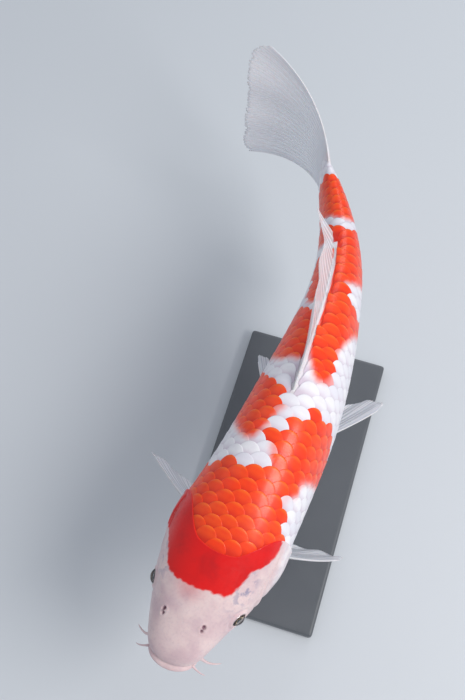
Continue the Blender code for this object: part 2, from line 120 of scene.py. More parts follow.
BARBEL_STARTS = (-0.22, -0.32)  # where each pair starts in the lip, in shares of its length

TAIL_OUTLINE = (
    (-1.0, 0.1210), (-0.85, 0.1235), (-0.5, 0.1185), (0.0, 0.1185), (0.5, 0.1285),
    (0.75, 0.1345), (0.88, 0.1320), (1.0, 0.1238),
)
TAIL_TURN_LENGTH = 0.138
TAIL_SLOPE = 12.0
TAIL_SPREAD = 27.0
TAIL_HEADING = -20.0
TAIL_TURN = (89.0, -6.0, -14.0)
TAIL_ROOT_PLACE = 0.985
TAIL_ROOT_HALF = 0.029
TAIL_STEPS = 24
FIN_SUNK = 0.006

# ---- The skin ----

COAT_DEPTH = 0.0009  # how far the skin lies under the solids' surface where it has scales
HEAD_RINGS = 184
TRUNK_RINGS = 50
TRUNK_START = 0.0009  # from the head's edge to the trunk's first ring, in s
RING_SIDES = 244
FORMS_END = 0.24  # no brow or cheek reaches past this s
SNOUT_END = 0.085  # and no lip past this one
CAP_REACH = 9 * MM  # how far the tail stem's rounded end goes past the tail base
GILL_LIFT = 0.0015  # how far the gill cover's edge stands above the scales
NAPE_LIFT = 0.0003
NOSTRIL_PLACE = (0.068, 32)
NOSTRIL_OPENINGS = ((-1.7, 1.3, 1.1), (1.5, 1.8, 1.5))  # mm behind its place, radius and depth
NOSTRIL_FLAP = 1.5 * MM
NOSTRIL_RIM = 0.4 * MM
LOWER_LIP_SHARE = 0.95  # of the upper lip's height
LIP_GROOVE = 0.16  # depth of the grooves beside the lips, in lip radii
CHEEK_PLACE = (0.150, 50)  # the middle of the bluish flecks of painted shade behind each eye
GILL_JOINT = 116  # the girth angle of the seam between the gill cover's upper and lower plate
# Folds of the gill cover: height, place behind its front edge and width, in mm
GILL_FOLDS = ((-1.15, 0.0, 1.3), (-0.60, -10.5, 1.4), (0.70, -5.0, 2.6))
GILL_HEIGHT = 1.10 * MM
SEAM_DEPTH = 0.75 * MM
SEAM_SWELLING = 0.35 * MM  # of the plate beside the seam
GILL_GRAIN = 0.05 * MM  # height of the cover's fine radial lines
EDGE_GROOVE = 0.35 * MM  # depth of the groove just ahead of the cover's free rear edge
THROAT_FOLDS = 0.30 * MM  # height of the folds of skin under the throat
# Folds round the eye: height, distance from the eye's axis and width, in mm
EYE_FOLDS = ((1.0, 7.8, 1.5), (-0.45, 10.8, 1.5), (0.25, 13.6, 1.5))
SOCKET_DEPTH = 5.5 * MM
HEAD_BUMPS = (  # height in mm, s, girth angle, then the widths along and across in mm
    (0.9, 0.112, 52, 16, 7),
    (0.8, 0.150, 104, 14, 13),
    (-0.7, 0.085, 55, 13, 8),
)
HEAD_RIDGES = (  # height in mm, girth angle, width in mm, and where in s they fade in and out
    (-0.7, 143, 2.2, (0.03, 0.06, 0.16, 0.21)),
    (0.25, 0, 3.0, (0.04, 0.07, 0.14, 0.17)),
)

# ---- The scales ----

DORSAL_BASE = ((0.455, -2), (0.815, -16))  # (s, girth) of its two ends
LATERAL_ROWS = 7  # rows of scales between the lateral line and the back, before the fins
TAIL_ROWS = 4  # the same behind them
ROWS_END = (0.455, 0.83)  # the stretch of s in which the rows along the back run out
DORSAL_STRETCH = (0.462, 0.835)  # where plates end at the dorsal fin's base
ANAL_STRETCH = (0.79, 0.865)  # the same for the anal fin
LAST_TIP = 1.014  # the s that no plate's tip goes past
EDGE_CLEARANCE = 3.2 * MM  # how far behind the head's edge the first tips lie at least
SCALE_SPACING = ((0.17, 0.0096), (0.35, 0.0112), (0.60, 0.0108), (0.80, 0.0096), (1.02, 0.0080))
SCALE_THICKNESS = 0.00014
SCALE_RISE = 0.00042  # how far a scale rises over the spacing to the next
SCALE_CROWN = 0.00012
SCALE_LIFT = 0.10 * MM  # how far a scale's root lies above the skin
SCALE_TIP_DROP = 0.00007
# How much scales differ: in length, place along and across the row, and rise
LENGTH_SPREAD, ALONG_SPREAD, ACROSS_SPREAD, RISE_SPREAD = 0.012, 0.022, 0.016, 0.05
FIN_BASE_HALF = 1.1 * MM  # what the scales leave free on each side of a fin's base

# ---- Light and camera ----

CAMERA_ELEVATION = 65.6
CAMERA_HEADING = 16.08  # degrees from the body's chord
CAMERA_DISTANCE = 0.895
CAMERA_AIM = (-0.0536, -0.2765)  # from the camera's aim to the snout: right and ahead
CAMERA_LENS = 50.0
SENSOR_WIDTH = 36.0
LAMPS = {  # place, width, watts, colour and the place it shines at
    "key": ((0.95, -0.25, 1.25), 0.8, 15.0, (1.0, 0.97, 0.93), (0.0, 0.0, 0.17)),
    "fill": ((-1.0, 0.3, 1.0), 1.1, 1.2, (0.92, 0.95, 1.0), (0.0, 0.0, 0.17)),
    "rim": ((0.1, 1.3, 0.9), 0.6, 3.0, (1.0, 1.0, 1.0), (0.0, 0.1, 0.17)),
}
SKY = (0.86, 0.90, 0.96, 1.0)
SKY_STRENGTH = 0.50
FLOOR_REACH = 4.0


def srgb(red, green, blue):
    """A colour given in display values of 0 to 255, as the linear values a shader takes."""
    return tuple((c / 255) ** 2.2 for c in (red, green, blue)) + (1.0,)


WHITE_SCALE = srgb(240, 238, 243)
WHITE_HEAD = srgb(232, 208, 208)
ORANGE = srgb(254, 64, 16)
BRIGHT_ORANGE = srgb(255, 122, 34)
CRIMSON = srgb(226, 20, 20)
FIN_WHITE = srgb(236, 240, 248)

RANDOM = np.random.default_rng(7)


# ---- Curves and surfaces ----


def curve(table, x):
    """The table's other columns at each x, along a curve that never overshoots its rows."""
    rows = np.array(table, float)
    keys, values = rows[:, 0], rows[:, 1:]
    x = np.clip(np.asarray(x, float), keys[0], keys[-1])
    i = np.clip(np.searchsorted(keys, x, side="right") - 1, 0, len(keys) - 2)
    steps = np.diff(values, axis=0) / np.diff(keys)[:, None]
    before, after = steps[:-1], steps[1:]
    rising = before * after > 0
    inner = 2 * before * after / np.where(rising, before + after, 1.0)
    slopes = np.concatenate([steps[:1], np.where(rising, inner, 0.0), steps[-1:]])
    width = (keys[i + 1] - keys[i])[..., None]
    t = ((x - keys[i])[..., None]) / width
    found = values[i] * (2 * t**3 - 3 * t**2 + 1) + slopes[i] * width * (t**3 - 2 * t**2 + t)
    found += values[i + 1] * (3 * t**2 - 2 * t**3) + slopes[i + 1] * width * (t**3 - t**2)
    return found[..., 0] if values.shape[1] == 1 else found


def ramp(x, low, high):
    """0 below low and 1 above high, with a smooth rise between."""
    t = np.clip((x - low) / (high - low), 0.0, 1.0)
    return t * t * (3 - 2 * t)


def hump(x, width):
    """1 where x is 0, falling away to both sides over the width."""
    return np.exp(-((x / width) ** 2))


def band(x, low, full, falling, high):
    """1 between full and falling and 0 outside low and high, with smooth slopes."""
    return ramp(x, low, full) * (1 - ramp(x, falling, high))


def power(value, exponent):
    return np.sign(value) * np.abs(value) ** exponent


def unit(vectors):
    return vectors / np.linalg.norm(vectors, axis=-1, keepdims=True)


def axis_points(chord_turn):
    s = (np.arange(SPINE_STEPS) + 0.5) / SPINE_STEPS
    turn = np.radians(curve(SPINE_BEND, s)) - chord_turn
    steps = np.stack([np.sin(turn), np.cos(turn), 0 * turn], -1) * BODY_LENGTH / SPINE_STEPS
    return np.concatenate([np.zeros((1, 3)), np.cumsum(steps, axis=0)])


TAIL_BASE = axis_points(0.0)[-1]
CHORD_TURN = math.atan2(TAIL_BASE[0], TAIL_BASE[1])
AXIS = axis_points(CHORD_TURN)


def frames(s):
    """The axis point at each s, with the directions to the rear and to the left."""
    s = np.asarray(s, float)
    inside = np.clip(s, 0.0, 1.0)
    k = inside * SPINE_STEPS
    i = np.minimum(k.astype(int), SPINE_STEPS - 1)
    turn = np.radians(curve(SPINE_BEND, s)) - CHORD_TURN
    rear = np.stack([np.sin(turn), np.cos(turn), 0 * turn], -1)
    left = np.stack([np.cos(turn), -np.sin(turn), 0 * turn], -1)
    part = (k - i)[..., None]
    point = AXIS[i] * (1 - part) + AXIS[i + 1] * part
    return point + rear * ((s - inside) * BODY_LENGTH)[..., None], rear, left


SECTIONS_BY_ROOT = tuple((math.sqrt(row[0]),) + row[1:] for row in SECTIONS)


def body(s, girth):
    """Points of the solids' surface, from the middle of the snout."""
    s, girth = np.broadcast_arrays(np.asarray(s, float), np.asarray(girth, float))
    point, _, left = frames(s)
    sizes = curve(SECTIONS_BY_ROOT, np.sqrt(np.maximum(s, 0.0))) * BODY_LENGTH
    angle = np.radians(girth)
    across = sizes[..., 2] * power(np.sin(angle), 2 / ROUNDNESS)
    middle = (sizes[..., 0] + sizes[..., 1]) / 2
    height = middle + (sizes[..., 0] - sizes[..., 1]) / 2 * power(np.cos(angle), 2 / ROUNDNESS)
    return point + left * across[..., None] + UP * height[..., None]


def outward(s, girth):
    """The surface's outward directions."""
    s = np.maximum(s, 0.004)
    along = body(s + 0.002, girth) - body(s - 0.002, girth)
    around = body(s, girth + 1) - body(s, girth - 1)
    return unit(np.cross(around, along))


def lifted(s, girth, height):
    """Points above the surface, or below it where height is negative."""
    return body(s, girth) + outward(s, girth) * np.asarray(height, float)[..., None]


def folded(girth):
    """The girth angle without its side, from 0 to 180."""
    return np.abs((girth + 180) % 360 - 180)


def head_edge(girth):
    """The rear edge of the head's skin: the solids' edge with its turns rounded."""
    turns = np.linspace(-6, 6, 5)
    edges = [curve(HEAD_EDGE, folded(np.asarray(girth, float) + turn)) for turn in turns]
    return np.mean(edges, axis=0)


def eye_centre(side):
    s, girth = EYE_PLACE
    return lifted(s, side * girth, -EYE_DEPTH)


LEFT_EYE_LOW, LEFT_EYE_HIGH = (np.array(corner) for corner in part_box("eye_left"))
ORIGIN = (LEFT_EYE_LOW + LEFT_EYE_HIGH) / 2 - eye_centre(1)


# ---- Measures round the body ----

ARC_PLACES = np.linspace(0.0, 1.06, 107)
ARC_SHARES = np.linspace(0.0, 1.0, 61)


def arc_tables():
    """For each place: the length from the lateral line to the back, and the girth angle at
    each share of it."""
    girths = np.linspace(90.0, 0.0, 181)
    lengths, angles = [], []
    for s in ARC_PLACES:
        line = body(s, girths)
        arc = np.concatenate([[0.0], np.cumsum(np.linalg.norm(np.diff(line, axis=0), axis=1))])
        lengths.append(arc[-1])
        angles.append(np.interp(ARC_SHARES, arc / arc[-1], girths))
    return np.array(lengths), np.array(angles)


QUARTER_LENGTHS, GIRTH_TABLE = arc_tables()


def quarter(s):
    return np.interp(s, ARC_PLACES, QUARTER_LENGTHS)


def girth_at(s, share):
    """The girth angle at a share of the way from the lateral line to the back, or past it."""
    over = share > 1
    share = np.where(over, 2 - share, share)
    i = np.clip(s / ARC_PLACES[1], 0, len(ARC_PLACES) - 1.001)
    j = np.clip(share, 0, 1) * (len(ARC_SHARES) - 1.001)
    i0, j0 = i.astype(int), j.astype(int)
    a, b = i - i0, j - j0
    low = GIRTH_TABLE[i0, j0] * (1 - b) + GIRTH_TABLE[i0, j0 + 1] * b
    high = GIRTH_TABLE[i0 + 1, j0] * (1 - b) + GIRTH_TABLE[i0 + 1, j0 + 1] * b
    found = low * (1 - a) + high * a
    return np.where(over, -found, found)


def rows_at(s):
    """How many rows of scales lie between the lateral line and the back."""
    return LATERAL_ROWS + (TAIL_ROWS - LATERAL_ROWS) * ramp(s, *ROWS_END)


def back_line(s):
    """The girth angle of the line that the dorsal fin stands on and the rows close up to."""
    (s0, g0), (s1, g1) = DORSAL_BASE
    along = g0 + (g1 - g0) * np.clip((s - s0) / (s1 - s0), 0, 1)
    return along * band(s, 0.30, s0, s1, 0.97)


def row_girth(s, row, side):
    """The girth angle of a row: 0 is the lateral line, and rows above it count up."""
    up = girth_at(s, np.abs(row) / rows_at(s))
    girth = np.where(row >= 0, up, 180 - up)
    swing = back_line(s) * np.maximum(np.cos(np.radians(girth)), 0) ** 2
    return girth * side + swing


# ---- Markings ----

# Outlines of the red patches, each a closed loop of (s, girth)
PATCHES = {
    "saddle": (
        (0.250, -104), (0.215, -90), (0.180, -66), (0.153, -51), (0.133, -44), (0.121, -33),
        (0.117, -20), (0.116, -2), (0.121, 13), (0.123, 22), (0.129, 34), (0.157, 41),
        (0.180, 42), (0.196, 50), (0.225, 57), (0.240, 58), (0.255, 54), (0.268, 54),
        (0.279, 48), (0.286, 40), (0.297, 42), (0.311, 43), (0.322, 50), (0.340, 49),
        (0.354, 62), (0.363, 77), (0.378, 96), (0.405, 98), (0.425, 82), (0.440, 68),
        (0.458, 52), (0.449, 33), (0.437, 24), (0.430, 13), (0.418, 10), (0.404, 7),
        (0.387, -1), (0.366, 1), (0.342, 6), (0.325, 11), (0.319, 4), (0.319, -10),
        (0.312, -26), (0.316, -45), (0.307, -62), (0.302, -80), (0.285, -102),
    ),
    "right_flank": (
        (0.418, -80), (0.385, -52), (0.367, -34), (0.363, -20), (0.384, -14), (0.415, -8),
        (0.434, -3), (0.448, -5), (0.474, -16), (0.489, -32), (0.491, -46), (0.513, -76),
        (0.500, -104), (0.450, -110),
    ),
    "right_of_fin_front": (
        (0.540, -64), (0.521, -36), (0.526, -24), (0.530, -9), (0.600, -8), (0.633, -9),
        (0.633, -31), (0.640, -48), (0.655, -78), (0.630, -100), (0.575, -94),
    ),
    "right_of_fin_rear": (
        (0.663, -46), (0.650, -23), (0.655, -7), (0.700, -6), (0.760, -9), (0.783, -25),
        (0.785, -50), (0.770, -68), (0.733, -62), (0.697, -57),
    ),
    "right_spot": (
        (0.812, -50), (0.822, -34), (0.850, -42), (0.866, -62), (0.858, -88), (0.828, -86),
    ),
    "left_of_fin": (
        (0.500, 14), (0.502, 24), (0.510, 29), (0.535, 30), (0.556, 30), (0.579, 34),
        (0.603, 43), (0.626, 57), (0.640, 74), (0.652, 88), (0.668, 80), (0.668, 60),
        (0.668, 45), (0.675, 33), (0.685, 22), (0.697, 14), (0.708, 14), (0.713, 27),
        (0.726, 50), (0.742, 80), (0.765, 102), (0.800, 106), (0.835, 98), (0.845, 60),
        (0.842, 34), (0.840, 14), (0.844, -2), (0.843, -20), (0.832, -29), (0.812, -18),
        (0.790, -18), (0.757, -16), (0.700, -14), (0.645, -12), (0.576, -9), (0.548, -4),
        (0.524, 3),
    ),
    "tail": (
        (0.873, -36), (0.862, -12), (0.860, 11), (0.860, 35), (0.862, 70), (0.870, 112),
        (0.915, 122), (0.958, 108), (0.963, 60), (0.963, 16), (0.965, -16), (0.972, -46),
        (0.962, -104), (0.910, -118), (0.882, -80),
    ),
}
LOOP_STEPS = 5  # pieces of each stretch of an outline once it is rounded
WOBBLE = 0.0007  # how far a patch's edge strays from its outline
FINE_WOBBLE = 0.0004


def flat(s, girth):
    """Places as flat coordinates in metres: along the body, and round it from the back."""
    return np.stack([s * BODY_LENGTH, girth * quarter(s) / 90], -1)


def rounded(loop):
    """The loop through its points without corners, in flat coordinates."""
    points = np.array(loop, float)
    points = flat(points[:, 0], points[:, 1])
    before, after = np.roll(points, 1, axis=0), np.roll(points, -1, axis=0)
    beyond = np.roll(points, -2, axis=0)
    lines = []
    for t in np.arange(LOOP_STEPS) / LOOP_STEPS:
        tangents = (after - before) * (t - 2 * t**2 + t**3) + (beyond - points) * (t**3 - t**2)
        blend = points * (1 - 3 * t**2 + 2 * t**3) + after * (3 * t**2 - 2 * t**3)
        lines.append(blend + tangents / 2)
    return np.stack(lines, axis=1).reshape(-1, 2)


ROUNDED_PATCHES = {name: rounded(loop) for name, loop in PATCHES.items()}


def depth_in(loop, places):
    """How deep each flat place lies inside the loop, negative outside it."""
    start, end = loop, np.roll(loop, -1, axis=0)
    along = end - start
    squares = np.maximum((along**2).sum(1), 1e-12)
    nearest = np.full(len(places), 1.0)
    crossings = np.zeros(len(places), int)
    for k in range(len(loop)):
        away = places - start[k]
        share = np.clip(away @ along[k] / squares[k], 0, 1)
        gap = away - share[:, None] * along[k]
        nearest = np.minimum(nearest, np.hypot(gap[:, 0], gap[:, 1]))
        spans = (start[k, 1] > places[:, 1]) != (end[k, 1] > places[:, 1])
        rise = along[k, 1] if abs(along[k, 1]) > 1e-12 else 1e-12
        reach = start[k, 0] + (places[:, 1] - start[k, 1]) / rise * along[k, 0]
        crossings += spans & (places[:, 0] < reach)
    return np.where(crossings % 2 == 1, nearest, -nearest)


def red_depth(s, girth):
    """How deep places lie inside the nearest red patch, in metres, negative outside them."""
    girth = (girth + 180) % 360 - 180
    places = flat(s, girth).reshape(-1, 2)
    wobble = WOBBLE * np.sin(places[:, 0] * 520 + 1.3) * np.sin(places[:, 1] * 610)
    wobble += FINE_WOBBLE * np.sin(places[:, 0] * 1310) * np.cos(places[:, 1] * 1170 + 0.6)
    deepest = np.full(len(places), -1.0)
    for loop in ROUNDED_PATCHES.values():
        low, high = loop.min(0) - 0.02, loop.max(0) + 0.02
        near = ((places > low) & (places < high)).all(1)
        if near.any():
            deepest[near] = np.maximum(deepest[near], depth_in(loop, places[near]))
    return (deepest + wobble).reshape(np.shape(s))


# ---- Making objects ----


def placed(name, data):
    """A new object in the scene."""
    made = bpy.data.objects.new(name, data)
    bpy.context.scene.collection.objects.link(made)
    return made


def mesh_object(name, points, faces):
    mesh = bpy.data.meshes.new(name)
    mesh.from_pydata(np.asarray(points, float) + ORIGIN, [], faces)
    mesh.update()
    mesh.shade_smooth()
    return placed(name, mesh)


def set_attributes(piece, **attributes):
    """Gives the piece's points these values, and 0 to the points past the end of a list."""
    for name, values in attributes.items():
        values = np.ravel(values)
        values = np.pad(values, (0, len(piece.data.vertices) - len(values)))
        attribute = piece.data.attributes.new(name, "FLOAT", "POINT")
        attribute.data.foreach_set("value", values.astype(np.float32))


def grid_faces(rows, columns, closed=False):
    """Quads between rows of points. A closed grid joins its last column to its first."""
    j, i = np.meshgrid(np.arange(rows - 1), np.arange(columns - (not closed)), indexing="ij")
    n = (i + 1) % columns
    corners = (j * columns + i, j * columns + n, (j + 1) * columns + n, (j + 1) * columns + i)
    return np.stack(corners, -1).reshape(-1, 4)


def ring_faces(count, sides):
    """Faces of a stack of rings with a pole at each end. The poles' points come last."""
    faces = grid_faces(count, sides, closed=True).tolist()
    pole, start = count * sides, (count - 1) * sides
    for k in range(sides):
        n = (k + 1) % sides
        faces += [(n, k, pole), (start + k, start + n, pole + 1)]
    return faces


def circle(aside, over, sides):
    """The directions of a ring's points, given two directions at right angles."""
    angles = (np.arange(sides) * math.tau / sides)[:, None]
    return aside[..., None, :] * np.cos(angles) + over[..., None, :] * np.sin(angles)


def shell_faces(rows, columns):
    """Faces of two grids of points, one after the other, joined round their border."""
    count = rows * columns
    front = grid_faces(rows, columns)
    border = np.concatenate([
        np.arange(columns),
        np.arange(1, rows) * columns + columns - 1,
        (rows - 1) * columns + np.arange(columns - 2, -1, -1),
        np.arange(rows - 2, 0, -1) * columns,
    ])
    following = np.roll(border, -1)
    rim = np.stack([border + count, following + count, following, border], -1)
    return np.concatenate([front, front[:, ::-1] + count, rim])


def applied(piece):
    """Replaces the piece's mesh by what its modifiers make of it."""
    graph = bpy.context.evaluated_depsgraph_get()
    mesh = bpy.data.meshes.new_from_object(piece.evaluated_get(graph))
    piece.modifiers.clear()
    old = piece.data
    piece.data = mesh
    bpy.data.meshes.remove(old)


def paint(piece, material):
    """Gives all of the piece one material."""
    mesh = piece.data
    mesh.materials.clear()
    mesh.materials.append(material)
    mesh.polygons.foreach_set("material_index", np.zeros(len(mesh.polygons), np.int32))


# ---- Head forms ----


def lip_path(t):
    """Points of the upper lip's middle, t from -1 at the right corner to 1 at the left one."""
    s = LIP_CORNER[0] * t * t
    girth = np.where(t < 0, -1, 1) * (90 + LIP_CORNER[1] * np.abs(t) ** 1.3)
    return body(s, girth) - frames(0.0)[1] * LIP_STANDOUT


def lip_frame(t):
    """The lip's radius at each t, and the directions along it, out of the face and across."""
    ahead = unit(lip_path(np.minimum(t + 0.05, 1)) - lip_path(np.maximum(t - 0.05, -1)))
    out = unit(np.cross(ahead, UP))
    return LIP_RADIUS * np.sqrt(1 - LIP_TAPER * t * t), ahead, out, np.cross(out, ahead)


def mouth_relief(points):
    """How far the lips push points out, the way out, and the shares of slit and lip."""
    t = np.linspace(-1, 1, 120)
    path = lip_path(t)
    radius, ahead, out, across = lip_frame(t)
    slit = LIP_FLATNESS * radius + GAP / 2
    middle = path - across * slit[:, None]
    k = np.argmin(((points[:, None, :] - middle[None]) ** 2).sum(-1), axis=1)
    away = points - middle[k]
    past = np.where(np.abs(t[k]) > 0.999, (away * ahead[k]).sum(-1) * np.sign(t[k]), 0.0)
    near = np.linalg.norm(away, axis=-1)
    fade = hump(np.maximum(past, 0), 2.5 * MM) * (1 - ramp(near, 9 * MM, 13 * MM))
    size = radius[k]
    c = (away * across[k]).sum(-1)
    lips = 0.0
    grooves = 1.1 * hump(c, 0.16 * size + 0.2 * MM)
    for edge, share in ((1, 1.0), (-1, LOWER_LIP_SHARE)):
        rolled = 1 - ((c - edge * slit[k]) / (0.92 * size)) ** 2
        lips = lips + share * np.maximum(rolled, 0) ** 0.7
        grooves = grooves + LIP_GROOVE * hump(c - edge * (slit[k] + 1.25 * size), 0.40 * size)
    return size * (lips - grooves) * fade, out[k], hump(c, 0.22 * size) * fade, lips * fade


def nostril_relief(s, girth):
    """A front and a rear opening with a flap of skin between them, and the painted shade in each."""
    place, angle = NOSTRIL_PLACE
    across = (folded(girth) - angle) * quarter(s) / 90
    turned = (s - place) * BODY_LENGTH + 0.25 * across
    push = NOSTRIL_FLAP * hump(turned - 0.1 * MM, 0.8 * MM) * hump(across, 2.2 * MM)
    push += NOSTRIL_RIM * hump(np.hypot(turned, across) - 3.6 * MM, 0.9 * MM)
    dark = 0.0
    for behind, radius, depth in NOSTRIL_OPENINGS:
        opening = hump(((turned - behind * MM) ** 2 + across**2) / (radius * MM) ** 2, 1.0)
        # painted shade, darkest in the middle of each sunken opening
        dark = dark + opening
        push -= depth * MM * opening
    return push, dark


def gill_front(girth):
    """The gill cover's front edge at each girth angle, as s."""
    middle, half = sum(GILL_SPAN) / 2, (GILL_SPAN[1] - GILL_SPAN[0]) / 2
    off = np.clip((folded(girth) - middle) / half, -1, 1)
    round_off = (1 - off**2 * GILL_CORNER) ** GILL_ROUNDING
    return head_edge(girth) - GILL_LENGTH * round_off


def gill_relief(s, girth):
    """The gill cover's plate, the furrow round its front, and its free rear edge."""
    angle = folded(girth)
    behind = (s - head_edge(girth)) * BODY_LENGTH
    ahead = (s - gill_front(girth)) * BODY_LENGTH
    first, last = GILL_SPAN
    span = band(angle, first - 8, first + 6, last + 8, last + 26)
    plate = span * (1 - ramp(angle, last - 6, last + 8))
    across = (angle - GILL_JOINT) * quarter(s) / 90 + 0.16 * ahead
    inside = plate * ramp(ahead, 0, 5 * MM)
    push = GILL_HEIGHT * ramp(ahead, 0, 6 * MM) * plate
    for height, place, width in GILL_FOLDS:
        push += height * MM * hump(ahead - place * MM, width * MM) * plate
    push -= SEAM_DEPTH * hump(across, 1.2 * MM) * inside
    push += SEAM_SWELLING * hump(across + 4 * MM, 3.5 * MM) * inside
    push += GILL_GRAIN * np.sin(angle * 2.1) * inside * ramp(ahead, 8 * MM, 30 * MM)
    push -= EDGE_GROOVE * hump(behind + 4.5 * MM, 1.3 * MM) * span
    throat = band(angle, 146, 152, 172, 177) * ramp(behind, -34 * MM, -12 * MM)
    push += THROAT_FOLDS * np.sin((angle - 146) * 0.9) * throat
    rear = np.minimum(behind, 0)
    push += (NAPE_LIFT + (GILL_LIFT - 1.1 * MM * plate) * span) * np.exp(rear / (6 * MM))
    under = ramp(behind, -0.1 * MM, 0.4 * MM)
    push = push * (1 - under) - (COAT_DEPTH + 0.5 * MM * span * hump(behind, 2.5 * MM)) * under
    return push


def eye_relief(points):
    """The eye's rim and, inside it, the socket."""
    push = np.zeros(len(points))
    s, girth = EYE_PLACE
    for side in (1, -1):
        axis = outward(s, side * girth)
        away = points - eye_centre(side)
        height = away @ axis
        distance = np.linalg.norm(away - height[:, None] * axis, axis=1)
        facing = height > 0
        for fold, place, width in EYE_FOLDS:
            push += facing * fold * MM * hump(distance - place * MM, width * MM)
        push -= facing * SOCKET_DEPTH * (1 - ramp(distance, 4.6 * MM, 6.7 * MM))
    return push


def head_forms(s, girth):
    """Brows, cheeks, the hollows before the eyes, the jaw's edge and the midline."""
    angle, side, push = folded(girth), quarter(s) / 90, 0.0
    for height, place, middle, length, width in HEAD_BUMPS:
        along = hump((s - place) * BODY_LENGTH, length * MM)
        push = push + height * MM * along * hump((angle - middle) * side, width * MM)
    for height, middle, width, stretch in HEAD_RIDGES:
        push = push + height * MM * hump((angle - middle) * side, width * MM) * band(s, *stretch)
    return push


# ---- Skin ----


def evenly(x, density, count):
    """count + 1 places from the first x to the last, closest where the density is high."""
    total = np.concatenate([[0.0], np.cumsum((density[1:] + density[:-1]) / 2 * np.diff(x))])
    return np.interp(np.linspace(0, total[-1], count + 1), total, x)


def head_shares():
    """The head's rings as shares of the way from the snout to the head's edge."""
    x = np.linspace(0, 1, 1500) ** 2
    flank = np.linalg.norm(np.gradient(body(x * head_edge(90), 90.0), axis=0), axis=1)
    back = np.linalg.norm(np.gradient(body(x * head_edge(0), 0.0), axis=0), axis=1)
    density = (flank + back) / np.gradient(x)
    eye, nostril = EYE_PLACE[0] / head_edge(90), NOSTRIL_PLACE[0] / head_edge(30)
    focus = 1 + 1.0 * hump(x - eye, 0.06) + 0.6 * hump(x - nostril, 0.05)
    focus += 0.9 * hump(x, 0.13) + 1.5 * hump(1 - x, 0.02)
    return evenly(x, density * focus, HEAD_RINGS)[1:]


def skin_places():
    """The s and girth of the skin's rings, from the snout to past the tail base."""
    x = np.linspace(0, 360, 1441)
    focus = 1 + 1.0 * hump(folded(x) - EYE_PLACE[1], 14) + 0.7 * hump(folded(x) - 32, 8)
    girths = evenly(x, focus, RING_SIDES)[:-1]
    shares = head_shares()
    edge = head_edge(girths)
    head = edge[None, :] * shares[:, None]
    steps = np.arange(1, TRUNK_RINGS + 1) / TRUNK_RINGS
    start = edge + TRUNK_START
    trunk = start[None, :] + (1.0 - start)[None, :] * (steps[:, None] ** 1.25)
    rings = np.concatenate([head, start[None, :], trunk])
    return rings, np.broadcast_to(girths, rings.shape)


def tail_cap(last_ring, middle):
    """Rings that round off the tail stem into the root of the tail fin."""
    _, rear, left = frames(1.0)
    rings = []
    for angle in np.radians(np.linspace(12, 84, 7)):
        away = last_ring - middle
        sideways = (away @ left)[:, None] * left
        upright = away - sideways
        kept = sideways * math.cos(angle) + upright * (1 - 0.10 * (1 - math.cos(angle)))
        rings.append(middle + kept + rear * CAP_REACH * math.sin(angle))
    return rings


def make_body():
    """The body's skin as one closed mesh, with its markings."""
    s, girth = skin_places()
    shape = s.shape
    s, girth = s.ravel(), girth.ravel()
    points = body(s, girth)
    normals = outward(s, girth)
    push = gill_relief(s, girth) + eye_relief(points)
    head = s < FORMS_END
    push[head] += head_forms(s[head], girth[head])
    nostril, nostril_dark = nostril_relief(s, girth)
    push += nostril
    points = points + normals * push[:, None]
    snout = s < SNOUT_END
    lips, out, slit, lip_share = mouth_relief(points[snout])
    points[snout] += out * lips[:, None]
    # Painted shade in the nostrils' openings and in the slit between the lips
    dark = nostril_dark
    dark[snout] = np.maximum(dark[snout], 0.6 * slit)
    lip = np.zeros(len(s))
    lip[snout] = lip_share
    rows = points.reshape(*shape, 3)
    middle = frames(1.0)[0]
    cap = tail_cap(rows[-1], middle)
    tip = body(0.0, 0.0)
    tip_push, tip_out, _, _ = mouth_relief(tip[None])
    tip = tip + (tip_out * tip_push[:, None])[0]
    rear = frames(1.0)[1]
    everything = np.concatenate([rows.reshape(-1, 3), *cap, [tip], [middle + rear * CAP_REACH]])
    piece = mesh_object("skin", everything, ring_faces(shape[0] + len(cap), RING_SIDES))
    depth = red_depth(s, girth)
    blush = 0.34 * ramp(depth, -15 * MM, 0) * hump(girth + 8 - 360 * (girth > 180), 15)
    from_base = flat(s, folded(girth - back_line(s)))[..., 1]
    by_base = ramp(from_base, FIN_BASE_HALF + 0.5 * MM, FIN_BASE_HALF + 1.3 * MM)
    in_fin = band(s, 0.445, 0.46, 0.815, 0.83)
    red = ramp(depth, -0.9 * MM, 0.9 * MM) * (1 - in_fin * (1 - by_base))
    headness = 1 - ramp((s - head_edge(girth)) * BODY_LENGTH, -0.2 * MM, 0.6 * MM)
    ahead = (s - gill_front(girth)) * BODY_LENGTH
    plate = ramp(folded(girth), GILL_SPAN[0] - 10, GILL_SPAN[0] + 8)
    # Where the bluish flecks of painted shade behind each eye go
    cheek = hump((s - CHEEK_PLACE[0]) * BODY_LENGTH, 17 * MM)
    set_attributes(
        piece,
        red=np.maximum(red, blush * headness),
        head=headness,
        dark=dark,
        lip=lip,
        pearl=ramp(ahead, -6 * MM, 14 * MM) * plate,
        cheek=cheek * hump((folded(girth) - CHEEK_PLACE[1]) * quarter(s) / 90, 9 * MM),
        web=0.0,
        ray=0.0,
    )
    return piece


def tube(points, radii, sides):
    """A closed tube along points, as (points, faces)."""
    ahead = unit(np.gradient(points, axis=0))
    aside = unit(np.cross(ahead, np.array((0.31, 0.17, 0.93))))
    over = np.cross(ahead, aside)
    rings = points[:, None] + circle(aside, over, sides) * radii[:, None, None]
    faces = grid_faces(len(points), sides, closed=True).tolist()
    faces.append(tuple(range(sides))[::-1])
    faces.append(tuple(range((len(points) - 1) * sides, len(points) * sides)))
    return rings.reshape(-1, 3), faces


